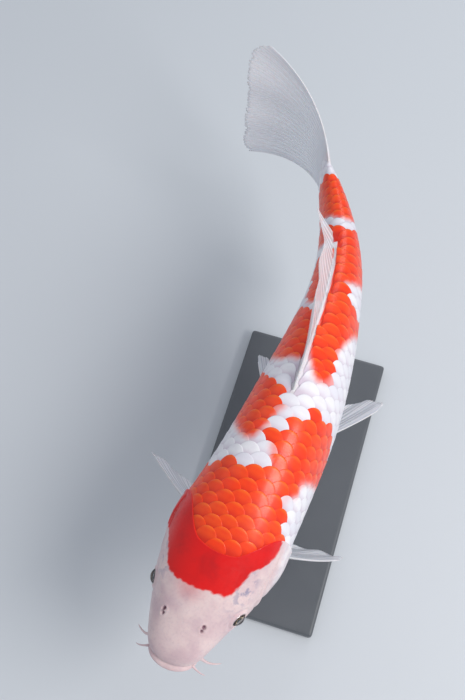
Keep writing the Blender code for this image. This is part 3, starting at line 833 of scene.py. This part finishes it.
def make_barbels():
    """The four feelers, rooted in the upper lip."""
    _, rear, left = frames(0.0)
    pieces = []
    for (place, way, sag, length, radius), start in zip(BARBELS, BARBEL_STARTS):
        for side in (1, -1):
            out = left * side
            root = lip_path(place * side)
            root = root + out * (LIP_RADIUS + radius + BARBEL_STANDOFF)
            heading = unit(out * way[0] + rear * way[1] + UP * way[2])
            droop = out * sag[0] + rear * sag[1] + UP * sag[2]
            t = np.linspace(start, 1.0, 26)[:, None]
            middle = root + heading * length * t + droop * length * t * np.abs(t)
            share = np.clip(t[:, 0], 0, 1)
            radii = radius * (1 - BARBEL_TAPER * share) * np.sqrt(1.02 - share**8)
            radii = radii * (1 + 0.5 * np.exp(-((t[:, 0] + 0.2) / 0.15) ** 2))
            pieces.append(tube(middle, radii, 10))
    barbels = joined("barbels", pieces)
    set_attributes(barbels, head=np.ones(len(barbels.data.vertices)))
    return barbels


def joined(name, pieces):
    """One object of several (points, faces)."""
    points, faces, start = [], [], 0
    for piece_points, piece_faces in pieces:
        points.append(piece_points)
        faces += [tuple(start + k for k in face) for face in piece_faces]
        start += len(piece_points)
    return mesh_object(name, np.concatenate(points), faces)


# ---- Fins ----

# root: two (s, girth); rays: directions as rearward, leftward and upward shares; flesh: the
# thickness of the fleshy root in mm, and where it starts and ends on its way out; clear: where
# the membrane turns clear
DORSAL = {
    "root": DORSAL_BASE,
    "first_ray": (0.62, -0.05, 0.78),
    "last_ray": (0.80, -0.57, 0.17),
    "curl": (0.10, 0.0, -0.05),
    "length": 0.058,
    "outline": (
        (0.00, 0.62), (0.04, 0.90), (0.10, 1.00), (0.30, 0.82), (0.60, 0.57), (0.85, 0.47),
        (1.00, 0.54),
    ),
    "rays": 21,
    "spine": 1.1,
    "ripple": 1.1 * MM,
    "flesh": ((2.0, 0.10, 0.22),),
    "clear": (0.14, 0.26),
}
ANAL = {
    "root": ((0.770, 180), (0.845, 180)),
    "first_ray": (0.62, 0.0, -0.78),
    "last_ray": (0.92, -0.10, -0.35),
    "curl": (0.10, -0.06, 0.04),
    "length": 0.058,
    "outline": ((0.00, 0.80), (0.12, 1.00), (0.45, 0.86), (0.80, 0.62), (1.00, 0.50)),
    "rays": 8,
    "spine": 1.4,
    "ripple": 0.8 * MM,
    "flesh": ((2.6, 0.0, 0.26),),
    "clear": (0.10, 0.42),
}
PECTORAL = {
    "curl": (0.10, 0.0, 0.05),
    "length": 0.088,
    "outline": ((0.00, 0.90), (0.12, 1.00), (0.35, 0.99), (0.65, 0.84), (0.88, 0.62), (1.00, 0.46)),
    "rays": 16,
    "spine": 1.2,
    "ripple": 1.0 * MM,
    "flesh": ((4.2, 0.04, 0.24),),
    "clear": (0.10, 0.42),
}
PECTORAL_LEFT = PECTORAL | {
    "root": ((0.252, 120), (0.268, 146)),
    "first_ray": (0.35, 0.60, -0.72),
    "last_ray": (0.27, 0.20, -0.94),
}
PECTORAL_RIGHT = PECTORAL | {
    "root": ((0.252, -120), (0.268, -146)),
    "first_ray": (0.32, -0.86, -0.44),
    "last_ray": (0.28, -0.40, -0.87),
}
PELVIC = {
    "curl": (0.06, 0.0, 0.05),
    "length": 0.082,
    "outline": ((0.00, 0.88), (0.12, 1.00), (0.45, 0.95), (0.80, 0.72), (1.00, 0.52)),
    "rays": 10,
    "spine": 1.2,
    "ripple": 0.8 * MM,
    "flesh": ((4.2, 0.04, 0.24),),
    "clear": (0.10, 0.42),
}
PELVIC_LEFT = PELVIC | {
    "root": ((0.470, 152), (0.500, 163)),
    "first_ray": (0.76, 0.64, -0.10),
    "last_ray": (0.79, 0.36, -0.50),
}
PELVIC_RIGHT = PELVIC | {
    "root": ((0.470, -152), (0.500, -163)),
    "first_ray": (0.80, -0.56, -0.20),
    "last_ray": (0.80, -0.26, -0.54),
}
TAIL = {
    "rays": 22,
    "spine": 0.7,
    "ripple": 1.2 * MM,
    "flesh": ((2.6, 0.0, 0.26), (3.0, 0.0, 0.20)),
    "clear": (0.10, 0.42),
}
MEMBRANE = 0.50 * MM
RAY_HEIGHT = 0.55 * MM  # at the root, over what is left at the tip
RAY_TIP_HEIGHT = 0.16 * MM
FIN_ROWS = 30
SAMPLES_PER_RAY = 6


def fin_points(fin, u, v):
    """u runs along the fin's root from its first ray to its last, v out along a ray."""
    (s0, g0), (s1, g1) = fin["root"]
    s = s0 + (s1 - s0) * u
    base = lifted(s, g0 + (g1 - g0) * u, -FIN_SUNK)
    _, rear, left = frames(s)
    first, last = np.array(fin["first_ray"]), np.array(fin["last_ray"])
    shares = first + (last - first) * u[..., None]
    way = unit(rear * shares[..., :1] + left * shares[..., 1:2] + UP * shares[..., 2:])
    curl = np.array(fin["curl"])
    length = fin["length"] * curve(fin["outline"], u) * edge_notch(u, fin["rays"], v) + FIN_SUNK
    length = length[..., None]
    bend = (rear * curl[0] + left * curl[1] + UP * curl[2]) * length * v[..., None] ** 2
    return base + way * length * v[..., None] + bend


def ray_distance(u, rays, v):
    """How far a place is from the nearest ray, in ray spacings. Each ray forks on its way out."""
    phase = u * (rays - 1)
    fork = 0.21 * ramp(v, 0.42, 0.95)
    off = np.abs(phase - np.round(phase))
    first = (np.round(phase) < 0.5) & (phase < 0.6)
    return np.where(first, off, np.abs(off - fork))


def edge_notch(u, rays, v):
    """The share of its length that a fin keeps: the membrane ends a little short of the rays."""
    ragged = 0.010 * np.sin(u * 31 + 0.7) + 0.006 * np.sin(u * 83) + 0.005 * np.sin(u * 157)
    notch = 0.012 * ramp(ray_distance(u, rays, v), 0.05, 0.30)
    return 1 - (notch + np.maximum(ragged, 0)) * ramp(v, 0.75, 1.0)


def tail_points(u, v):
    """The tail fin, u from its lowest ray to its highest."""
    spread = u * 2 - 1
    length = curve(TAIL_OUTLINE, spread) * edge_notch(u, TAIL["rays"], v)
    length = length + (1 - TAIL_ROOT_PLACE) * BODY_LENGTH
    turn = TAIL_TURN[0] + TAIL_TURN[1] * spread + TAIL_TURN[2] * spread**2
    rise = np.radians(TAIL_SLOPE + TAIL_SPREAD * spread)
    start = frames(TAIL_ROOT_PLACE)[0]
    point = start + UP * (TAIL_ROOT_HALF * spread)[..., None]
    step = length * v / TAIL_STEPS
    for k in range(TAIL_STEPS):
        along = length / TAIL_TURN_LENGTH * v * (k + 0.5) / TAIL_STEPS
        way = np.radians(TAIL_HEADING - turn * along) - CHORD_TURN
        flat_way = np.stack([np.sin(way), np.cos(way), 0 * way], -1) * np.cos(rise)[..., None]
        point = point + (flat_way + UP * np.sin(rise)[..., None]) * step[..., None]
    return point


def fin_sheet(fin, place):
    """A fin's two faces with its rays as ridges, as (points, faces, web, ray)."""
    spaces = fin["rays"] - 1
    columns = spaces * SAMPLES_PER_RAY + 1
    u, v = np.meshgrid(np.linspace(0, 1, columns), np.linspace(0, 1, FIN_ROWS) ** 0.9)
    points = place(u, v)
    normal = unit(np.cross(np.gradient(points, axis=1), np.gradient(points, axis=0)))
    ridge = hump(ray_distance(u, fin["rays"], v), 0.17)
    leading = hump(u * spaces, 0.9)
    if fin is TAIL:
        leading = leading + hump((1 - u) * spaces, 0.9)
    height = RAY_HEIGHT * (1 - v) + RAY_TIP_HEIGHT
    thickness = MEMBRANE + height * ridge * (1 + 1.6 * fin["spine"] * leading)
    ends = hump((1 - u) * spaces, 1.2) + 0.9 * hump(u * spaces, 0.30)
    fleshy = sum(depth * MM * (1 - ramp(v, low, high)) for depth, low, high in fin["flesh"])
    thickness += fleshy * (1 - 0.7 * ends)
    thickness *= 1 - 0.45 * ramp(v, 0.92, 1.0)
    wave = fin["ripple"] * np.sin(u * 17 + v * 2.4) * ramp(v, 0.15, 1.0)
    middle = points + normal * wave[..., None]
    half = normal * (thickness / 2)[..., None]
    both = np.concatenate([(middle + half).reshape(-1, 3), (middle - half).reshape(-1, 3)])
    web = (1 - ridge) * ramp(v, *fin["clear"]) * (1 - 0.6 * np.clip(leading, 0, 1))
    ray = ridge * ramp(v, 0.05, 0.3)
    faces = shell_faces(FIN_ROWS, columns).tolist()
    return both, faces, np.tile(web.ravel(), 2), np.tile(ray.ravel(), 2)


def make_fins():
    """All fins as one object, each a closed shell whose root lies in the body."""
    shapes = [fin_sheet(TAIL, tail_points)]
    for fin in (DORSAL, ANAL, PECTORAL_LEFT, PECTORAL_RIGHT, PELVIC_LEFT, PELVIC_RIGHT):
        shapes.append(fin_sheet(fin, lambda u, v, fin=fin: fin_points(fin, u, v)))
    fins = joined("fins", [shape[:2] for shape in shapes])
    web, ray = (np.concatenate([shape[k] for shape in shapes]) for k in (2, 3))
    set_attributes(fins, web=web, ray=ray)
    return fins


def make_skin():
    """Body, feelers and fins as one closed mesh, with the attributes its material reads."""
    skin = make_body()
    for extra in (make_barbels(), make_fins()):
        union = skin.modifiers.new("union", "BOOLEAN")
        union.operation = "UNION"
        union.solver = "MANIFOLD"
        union.object = extra
        applied(skin)
        bpy.data.objects.remove(extra)
    skin.data.shade_smooth()
    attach(skin, "root")
    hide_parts(*FLESH)
    return skin


# ---- Scales ----

PLATE_LENGTH = 2.1  # in spacings along the row
PLATE_ALONG = np.array((0.0, 0.34, 0.56, 0.72, 0.85, 0.95, 1.0))
PLATE_AROUND = np.radians(np.linspace(-90, 90, 15))
PLATE_REAR = 1.15  # how far the rear edge's round goes, in spacings
TUCK = 2.5 * MM  # how far the plates under the head's edge go down ahead of it
EXPOSED_CENTRE = 1.62  # the middle of what shows of a plate, in spacings from its root
PATCH_SIZE = 0.003  # a scale's patch on the map of the coat


def spacing_tables():
    s = np.linspace(0.05, 1.08, 400)
    steps = BODY_LENGTH / curve(SCALE_SPACING, s)
    counts = np.concatenate([[0.0], np.cumsum((steps[1:] + steps[:-1]) / 2 * np.diff(s))])
    return s, counts


SPACING_S, SPACING_COUNTS = spacing_tables()


def s_after(count):
    """The s that lies a number of spacings from the coat's start."""
    return np.interp(count, SPACING_COUNTS, SPACING_S)


def row_height(s):
    return float(quarter(s) / rows_at(s))


def scale_sites():
    """(spacings from the start, row, side, reach towards the midline in rows, 1 by a fin's base)
    of each scale."""
    sites = []
    last = int(SPACING_COUNTS[-1])
    for row in range(-LATERAL_ROWS, LATERAL_ROWS + 1):
        for k in range(last):
            count = k + (abs(row) % 2) / 2
            tip, middle = s_after(count + PLATE_LENGTH), s_after(count + EXPOSED_CENTRE)
            room = float(rows_at(middle)) - abs(row)
            girth = float(row_girth(middle, row, 1))
            if room < -0.3 or tip > LAST_TIP:
                continue
            edge = float(head_edge(girth))
            if (tip - edge) * BODY_LENGTH < EDGE_CLEARANCE:
                continue
            low, high = DORSAL_STRETCH if row > 0 else ANAL_STRETCH
            by_fin = row != 0 and low < tip < high
            tapering = ROWS_END[0] < middle < ROWS_END[1] or by_fin
            if room <= (0.12 if by_fin else 0.3):
                if not by_fin:
                    sites.append((count, row, 1, 1.0, 0))
                continue
            reach = 1.0
            if tapering and room < 1.45:
                reach = room - (FIN_BASE_HALF / row_height(middle) if by_fin else 0.0)
            for side in (1, -1):
                sites.append((count, row, side, max(reach, 0.1), by_fin))
    return np.array(sites)


def plate_template():
    """A plate's places: spacings from its root, row spacings from its middle row."""
    q, angle = np.meshgrid(PLATE_ALONG, PLATE_AROUND, indexing="ij")
    rear = PLATE_LENGTH - PLATE_REAR * (1 - np.cos(angle))
    front = 0.35 * (1 - np.cos(angle))
    along = front + (rear - front) * q
    across = np.sin(angle) * (0.86 + 0.14 * np.sin(q * math.pi))
    return along, across, q


def off_midline(s, row, by_fin):
    """Rows with those by a fin's base held clear of it."""
    limit = rows_at(s) * (1 - FIN_BASE_HALF / quarter(s))
    held = limit - 0.04 * np.logaddexp(0, (limit - np.abs(row)) / 0.04)
    return np.where(by_fin > 0, np.sign(row) * held, row)


def both_faces(values, shape):
    """Each plate's values for the points of its upper face and again for its lower face."""
    return np.tile(np.broadcast_to(values, shape), (1, 2)).ravel()


def make_scales(name, sites):
    """One mesh of closed plates, one for each site."""
    along, across, q = plate_template()
    rows, columns = along.shape
    along, across, q = along.ravel(), across.ravel(), q.ravel()
    count = len(sites)
    jitter = RANDOM.normal(0, 1, (count, 4))
    x = along[None] * (1 + LENGTH_SPREAD * jitter[:, :1]) + ALONG_SPREAD * jitter[:, 1:2]
    y = across[None] + ACROSS_SPREAD * jitter[:, 2:3] * (along[None] - 1)
    room = sites[:, 3:4]
    towards = np.sign(sites[:, 1:2] + 0.001) * y > 0
    y = np.where(towards, y * room, y)
    s = s_after(sites[:, :1] + x)
    side = sites[:, 2:3]
    girth = row_girth(s, off_midline(s, sites[:, 1:2] + y, sites[:, 4:5]), side)
    normal = outward(s, girth)
    points = body(s, girth)
    rise = SCALE_RISE * (1 + RISE_SPREAD * jitter[:, 3:4])
    crown = SCALE_CROWN * (1 - across**2)
    height = -COAT_DEPTH + SCALE_LIFT + rise * along + crown - SCALE_TIP_DROP * ramp(q, 0.9, 1.0)
    ahead = (head_edge(girth) - s) * BODY_LENGTH
    height = height - TUCK * ramp(ahead, 1.0 * MM, 6.0 * MM)
    thick = SCALE_THICKNESS * (1 - 0.45 * ramp(q, 0.85, 1.0))
    top = points + normal * height[..., None]
    bottom = points + normal * (height - thick)[..., None]
    plate = shell_faces(rows, columns)
    starts = np.arange(count) * 2 * rows * columns
    faces = np.where(side[:, :, None] > 0, plate[None, :, ::-1], plate[None])
    faces = faces + starts[:, None, None]
    piece = mesh_object(
        name,
        np.concatenate([top, bottom], axis=1).reshape(-1, 3),
        faces.reshape(-1, 4).tolist(),
    )
    values = {
        "red": scale_red(sites, s, girth),
        "tone": RANDOM.uniform(0, 1, (count, 1)),
        "along": along,
        "across": across,
        "pore": (sites[:, 1:2] == 0) * hump(across, 0.13) * hump(along - 1.68, 0.22),
    }
    set_attributes(piece, **{key: both_faces(value, s.shape) for key, value in values.items()})
    root = s_after(sites[:, :1])
    u = 0.01 + 0.90 * root + PATCH_SIZE * (along / PLATE_LENGTH - 0.5)
    v = 0.5 + 0.48 * row_girth(root, sites[:, 1:2], side) / 180 + PATCH_SIZE * (across / 2)
    places = np.stack([both_faces(u, s.shape), both_faces(v, s.shape)], -1)
    layer = piece.data.uv_layers.new(name="OFBake")
    corners = np.zeros(len(piece.data.loops), np.int32)
    piece.data.loops.foreach_get("vertex_index", corners)
    layer.data.foreach_set("uv", places[corners].astype(np.float32).ravel())
    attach(piece, "root")
    return piece


def scale_red(sites, s, girth):
    """How red each place of each plate is. A patch's rear edge follows whole scales, and its
    front edge shows softly through them."""
    count, row, side = sites[:, 0], sites[:, 1], sites[:, 2]
    middle = s_after(count + EXPOSED_CENTRE)
    angle = row_girth(middle, row, side)
    here = red_depth(middle, angle)
    step = 7 * MM / BODY_LENGTH
    slope = (red_depth(middle + step, angle) - red_depth(middle - step, angle)) / (14 * MM)
    whole = (here > -0.3 * MM).astype(float)[:, None]
    softly = ramp(red_depth(s, girth), -5.5 * MM, 3.5 * MM)
    front = ramp(slope, 0.15, 0.55)[:, None]
    near = 1 - ramp(np.abs(here), 9 * MM, 14 * MM)[:, None]
    share = front * near
    return whole * (1 - share) + softly * share


# ---- Eyes ----

EYEBALL_RADIUS = 7.55 * MM
IRIS_RADIUS = 5.7 * MM
PUPIL_RADIUS = 3.1 * MM
PUPIL_DOME = 0.55 * MM
IRIS_DEPTH = 0.35 * MM  # how far the iris dips to the pupil
EYE_SIDES = 64


def turned(profile, centre, axis, sides):
    """A closed shape turned round an axis from (radius, height) pairs, ends on the axis."""
    aside = unit(np.cross(axis, UP))
    over = np.cross(aside, axis)
    inner = np.array(profile[1:-1])
    rings = circle(aside, over, sides) * inner[:, :1, None] + axis * inner[:, 1:2, None] + centre
    ends = [centre + axis * profile[0][1], centre + axis * profile[-1][1]]
    return np.concatenate([rings.reshape(-1, 3), ends]), ring_faces(len(inner), sides)


def make_eye(side_name, side):
    s, girth = EYE_PLACE
    centre = eye_centre(side)
    axis = outward(s, side * girth)
    iris_height = math.sqrt(EYEBALL_RADIUS**2 - IRIS_RADIUS**2)
    profile = [(0.0, iris_height + PUPIL_DOME)]
    for share in np.linspace(0.12, 1, 8):
        dome = PUPIL_DOME * math.sqrt(max(1 - share**2, 0))
        profile.append((PUPIL_RADIUS * share, iris_height - IRIS_DEPTH + dome * 1.6))
    for share in np.linspace(0.08, 1, 12):
        radius = PUPIL_RADIUS + (IRIS_RADIUS - PUPIL_RADIUS) * share
        profile.append((radius, iris_height - IRIS_DEPTH * (1 - share) ** 0.8))
    start = math.asin(IRIS_RADIUS / EYEBALL_RADIUS)
    for angle in np.linspace(start, math.pi, 22)[1:-1]:
        profile.append((EYEBALL_RADIUS * math.sin(angle), EYEBALL_RADIUS * math.cos(angle)))
    profile.append((0.0, -EYEBALL_RADIUS))
    points, faces = turned(profile, centre, axis, EYE_SIDES)
    ball = mesh_object("eyeball_" + side_name, points, faces)
    away = points - centre
    height = away @ axis
    radius = np.linalg.norm(away - height[:, None] * axis, axis=1)
    shares = np.where(height > 0, radius / IRIS_RADIUS, 2.0)
    set_attributes(ball, radius=shares, upper=away @ UP / IRIS_RADIUS)
    shell = []
    for angle in np.linspace(0, math.pi, 34):
        shell.append((EYE_RADIUS * math.sin(angle), EYE_RADIUS * math.cos(angle)))
    points, faces = turned(shell, centre, axis, EYE_SIDES)
    cornea = mesh_object("cornea_" + side_name, points, faces)
    for piece in (ball, cornea):
        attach(piece, "root")
    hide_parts("eye_" + side_name)
    return ball, cornea


# ---- Materials ----


class Surface:
    """A material and the nodes that feed its shader."""

    def __init__(self, name, **values):
        self.made = bpy.data.materials.new(name)
        self.made.use_nodes = True
        self.nodes = self.made.node_tree.nodes
        self.links = self.made.node_tree.links
        self.shader = self.nodes["Principled BSDF"]
        for socket, value in values.items():
            self.shader.inputs[socket.replace("_", " ")].default_value = value

    def node(self, kind, inputs=None, **settings):
        made = self.nodes.new("ShaderNode" + kind)
        for key, value in settings.items():
            setattr(made, key, value)
        for key, value in (inputs or {}).items():
            if isinstance(value, bpy.types.NodeSocket):
                self.links.new(value, made.inputs[key])
            else:
                made.inputs[key].default_value = value
        return made

    def attribute(self, name):
        return self.node("Attribute", attribute_name=name).outputs["Fac"]

    def place(self):
        return self.node("TexCoord").outputs["Object"]

    def noise(self, scale, detail=3.0, place=None):
        inputs = {"Scale": scale, "Detail": detail, "Vector": place or self.place()}
        return self.node("TexNoise", inputs).outputs["Fac"]

    def ranged(self, value, low, high, to_low=0.0, to_high=1.0):
        inputs = {"Value": value, "From Min": low, "From Max": high}
        inputs |= {"To Min": to_low, "To Max": to_high}
        made = self.node("MapRange", inputs, interpolation_type="SMOOTHSTEP")
        return made.outputs["Result"]

    def maths(self, operation, first, second=0.0):
        return self.node("Math", {0: first, 1: second}, operation=operation).outputs[0]

    def times(self, first, second):
        return self.maths("MULTIPLY", first, second)

    def plus(self, first, second):
        return self.maths("ADD", first, second)

    def minus(self, first, second):
        return self.maths("SUBTRACT", first, second)

    def mix(self, share, first, second):
        inputs = {"Factor": share, 6: first, 7: second}
        return self.node("Mix", inputs, data_type="RGBA").outputs[2]

    def tinted(self, colour, source, low, high, tint, most=1.0):
        """The colour, turned to the tint by a share that rises where the source does."""
        return self.mix(self.ranged(source, low, high, 0.0, most), colour, srgb(*tint))

    def feed(self, **sockets):
        for name, value in sockets.items():
            self.links.new(value, self.shader.inputs[name.replace("_", " ")])

    def bump(self, height, strength, distance):
        inputs = {"Height": height, "Strength": strength, "Distance": distance}
        self.feed(Normal=self.node("Bump", inputs).outputs["Normal"])


def skin_material():
    made = Surface(
        "koi_skin",
        Specular_IOR_Level=0.35,
        Coat_Weight=0.22,
        Coat_Roughness=0.12,
        Subsurface_Weight=0.05,
        Subsurface_Radius=(0.004, 0.0018, 0.0012),
        Subsurface_Scale=1.0,
    )
    mottle = made.noise(55.0, 4.0)
    blotch = made.noise(170.0, 3.0)
    fine = made.noise(420.0, 3.0)
    head = made.attribute("head")
    trunk_white = made.mix(mottle, WHITE_SCALE, srgb(216, 204, 212))
    bare = made.tinted(WHITE_HEAD, mottle, 0.35, 0.7, (214, 186, 192))
    bare = made.tinted(bare, fine, 0.45, 0.75, (182, 158, 172), 0.2)
    pearly = made.mix(made.ranged(blotch, 0.35, 0.7), srgb(240, 232, 236), srgb(222, 210, 218))
    bare = made.mix(made.attribute("pearl"), bare, pearly)
    # Bluish flecks of painted shade behind each eye
    shade_fleck = made.ranged(blotch, 0.47, 0.62, 0.0, 0.75)
    shade_fleck = made.times(shade_fleck, made.attribute("cheek"))
    bare = made.mix(shade_fleck, bare, srgb(134, 134, 166))
    white = made.mix(head, trunk_white, bare)
    red = made.mix(head, ORANGE, CRIMSON)
    deeper = made.mix(head, srgb(232, 52, 20), srgb(200, 20, 24))
    red = made.mix(made.ranged(mottle, 0.4, 0.75), red, deeper)
    colour = made.mix(made.attribute("red"), white, red)
    lip = made.times(made.attribute("lip"), 0.4)
    colour = made.mix(lip, colour, srgb(222, 192, 198))
    ray, web = made.attribute("ray"), made.attribute("web")
    fin = made.mix(ray, FIN_WHITE, srgb(244, 242, 246))
    finness = made.ranged(made.plus(web, ray), 0.0, 0.3)
    colour = made.mix(finness, colour, fin)
    # Painted shade in the nostrils and in the mouth's slit
    colour = made.mix(made.attribute("dark"), colour, srgb(112, 74, 92))
    solid = made.minus(1.0, made.times(web, 0.60))
    alpha = made.minus(solid, made.times(ray, 0.25))
    roughness = made.ranged(fine, 0.3, 0.8, 0.30, 0.48)
    made.feed(Base_Color=colour, Roughness=roughness, Alpha=alpha)
    made.bump(made.plus(fine, made.noise(1500.0, 2.0)), 0.20, 0.0003)
    return made.made


def scale_material():
    made = Surface("koi_scales", Specular_IOR_Level=0.35, Coat_Weight=0.22, Coat_Roughness=0.16)
    along, across = made.attribute("along"), made.attribute("across")
    tone = made.attribute("tone")
    mottle = made.noise(120.0, 4.0)
    white = made.mix(tone, srgb(243, 242, 247), srgb(228, 227, 238))
    white = made.tinted(white, mottle, 0.4, 0.75, (224, 216, 230), 0.4)
    base = made.ranged(along, 0.9, 1.6)
    white = made.mix(base, srgb(212, 198, 214), white)
    red = made.mix(tone, ORANGE, srgb(248, 80, 30))
    red = made.tinted(red, mottle, 0.35, 0.75, (236, 50, 18), 0.5)
    red = made.mix(base, srgb(216, 42, 20), red)
    rim = made.ranged(along, 1.75, 2.08)
    red = made.mix(made.times(rim, 0.5), red, BRIGHT_ORANGE)
    colour = made.mix(made.attribute("red"), white, red)
    pore = made.times(made.attribute("pore"), 0.34)
    colour = made.mix(pore, colour, srgb(120, 96, 112))
    away = made.minus(along, 0.7)
    fan = made.maths("SINE", made.times(made.maths("ARCTAN2", across, away), 46.0))
    rings = made.maths("SINE", made.times(along, 70.0))
    ridges = made.plus(made.times(fan, 0.6), made.times(rings, 0.3))
    grain = made.plus(ridges, made.noise(900.0, 2.0))
    roughness = made.ranged(mottle, 0.3, 0.75, 0.34, 0.50)
    made.feed(Base_Color=colour, Roughness=roughness)
    made.bump(grain, 0.10, 0.00012)
    return made.made


def eye_material():
    made = Surface("koi_eye", Roughness=0.22, Coat_Weight=0.6, Coat_Roughness=0.04)
    radius = made.attribute("radius")
    speckle = made.noise(900.0, 3.0)
    gold = made.mix(speckle, srgb(196, 156, 118), srgb(236, 222, 206))
    shade = made.ranged(made.attribute("upper"), -0.25, 0.45)
    iris = made.mix(shade, gold, srgb(40, 32, 44))
    ring = made.ranged(radius, 0.575, 0.63)
    iris = made.mix(ring, srgb(228, 190, 112), iris)
    outer = made.ranged(radius, 0.84, 1.0)
    iris = made.mix(outer, iris, srgb(60, 48, 56))
    white = made.ranged(radius, 1.02, 1.1)
    eye = made.mix(white, iris, srgb(214, 200, 204))
    pupil = made.ranged(radius, 0.530, 0.550)
    made.feed(Base_Color=made.mix(pupil, srgb(8, 7, 10), eye))
    made.bump(speckle, 0.25, 0.0002)
    return made.made


def cornea_material():
    """Clear, with the sheen of a wet surface."""
    made = Surface("cornea")
    made.nodes.remove(made.shader)
    noise = made.noise(300.0, 2.0)
    sheen = made.node("BsdfGlossy", {"Roughness": made.ranged(noise, 0.3, 0.7, 0.01, 0.04)})
    clear = made.node("BsdfTransparent")
    share = made.node("Fresnel", {"IOR": 1.376}).outputs[0]
    both = made.node("MixShader", {0: share, 1: clear.outputs[0], 2: sheen.outputs[0]})
    made.links.new(both.outputs[0], made.nodes["Material Output"].inputs["Surface"])
    return made.made


def paint_material():
    made = Surface("stand_paint")
    cloud = made.noise(30.0, 4.0)
    colour = made.mix(cloud, srgb(88, 92, 98), srgb(94, 98, 104))
    made.feed(Base_Color=colour, Roughness=made.ranged(cloud, 0.3, 0.7, 0.38, 0.50))
    made.bump(made.noise(1400.0, 2.0), 0.12, 0.0002)
    return made.made


def steel_material():
    made = Surface("stand_steel", Metallic=1.0)
    stretch = made.node("Mapping", {"Vector": made.place(), "Scale": (40.0, 40.0, 5000.0)})
    brush = made.noise(1.0, 1.0, stretch.outputs[0])
    made.feed(Base_Color=made.mix(brush, srgb(178, 181, 186), srgb(190, 192, 196)))
    made.feed(Roughness=made.ranged(brush, 0.3, 0.7, 0.28, 0.34))
    return made.made


def floor_material():
    made = Surface("floor")
    cloud = made.noise(1.2, 3.0)
    made.feed(Base_Color=made.mix(cloud, srgb(202, 208, 215), srgb(208, 213, 220)))
    made.feed(Roughness=made.ranged(cloud, 0.3, 0.7, 0.62, 0.72))
    return made.made


# ---- The scene ----


def lamp(name, place, size, power_watts, colour, aim):
    data = bpy.data.lights.new(name, "AREA")
    data.shape = "DISK"
    data.size = size
    data.energy = power_watts
    data.color = colour
    made = placed(name, data)
    made.location = place
    made.rotation_euler = (Vector(aim) - Vector(place)).to_track_quat("-Z", "Y").to_euler()


def studio():
    mesh = bpy.data.meshes.new("floor")
    corners = [(FLOOR_REACH * x, FLOOR_REACH * y, 0) for x, y in ((-1, -1), (1, -1), (1, 1), (-1, 1))]
    mesh.from_pydata(corners, [], [(0, 1, 2, 3)])
    floor = placed("floor", mesh)
    mesh.materials.append(floor_material())
    world = bpy.data.worlds.new("studio")
    bpy.context.scene.world = world
    bpy.context.scene.view_settings.view_transform = "Standard"
    world.use_nodes = True
    backdrop = world.node_tree.nodes["Background"]
    backdrop.inputs["Color"].default_value = SKY
    backdrop.inputs["Strength"].default_value = SKY_STRENGTH
    for name, values in LAMPS.items():
        lamp(name, *values)


def photo_camera():
    turn = math.radians(CAMERA_HEADING) + CHORD_TURN
    tilt = math.radians(CAMERA_ELEVATION)
    right = np.array((math.cos(turn), math.sin(turn), 0.0))
    ahead = np.array((-math.sin(turn), math.cos(turn), 0.0))
    target = ORIGIN - right * CAMERA_AIM[0] - ahead * CAMERA_AIM[1]
    sight = ahead * math.cos(tilt) - UP * math.sin(tilt)
    data = bpy.data.cameras.new("camera")
    data.lens = CAMERA_LENS
    data.sensor_width = SENSOR_WIDTH
    made = placed("camera", data)
    made.location = target - sight * CAMERA_DISTANCE
    made.rotation_euler = Vector(sight).to_track_quat("-Z", "Y").to_euler()
    bpy.context.scene.camera = made


FLESH = [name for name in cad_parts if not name.startswith(("stand_", "eye_"))]

paint(make_skin(), skin_material())

SITES = scale_sites()
SCALE_MATERIAL = scale_material()
for name, side in (("scales_left", 1), ("scales_right", -1)):
    paint(make_scales(name, SITES[SITES[:, 2] == side]), SCALE_MATERIAL)

EYE_MATERIAL = eye_material()
CORNEA_MATERIAL = cornea_material()
for name, side in (("left", 1), ("right", -1)):
    ball, cornea = make_eye(name, side)
    paint(ball, EYE_MATERIAL)
    paint(cornea, CORNEA_MATERIAL)

PAINT = paint_material()
STEEL = steel_material()
for name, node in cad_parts.items():
    if name.startswith("stand_"):
        for slot in node.material_slots:
            slot.material = PAINT if name == "stand_base" else STEEL

studio()
photo_camera()
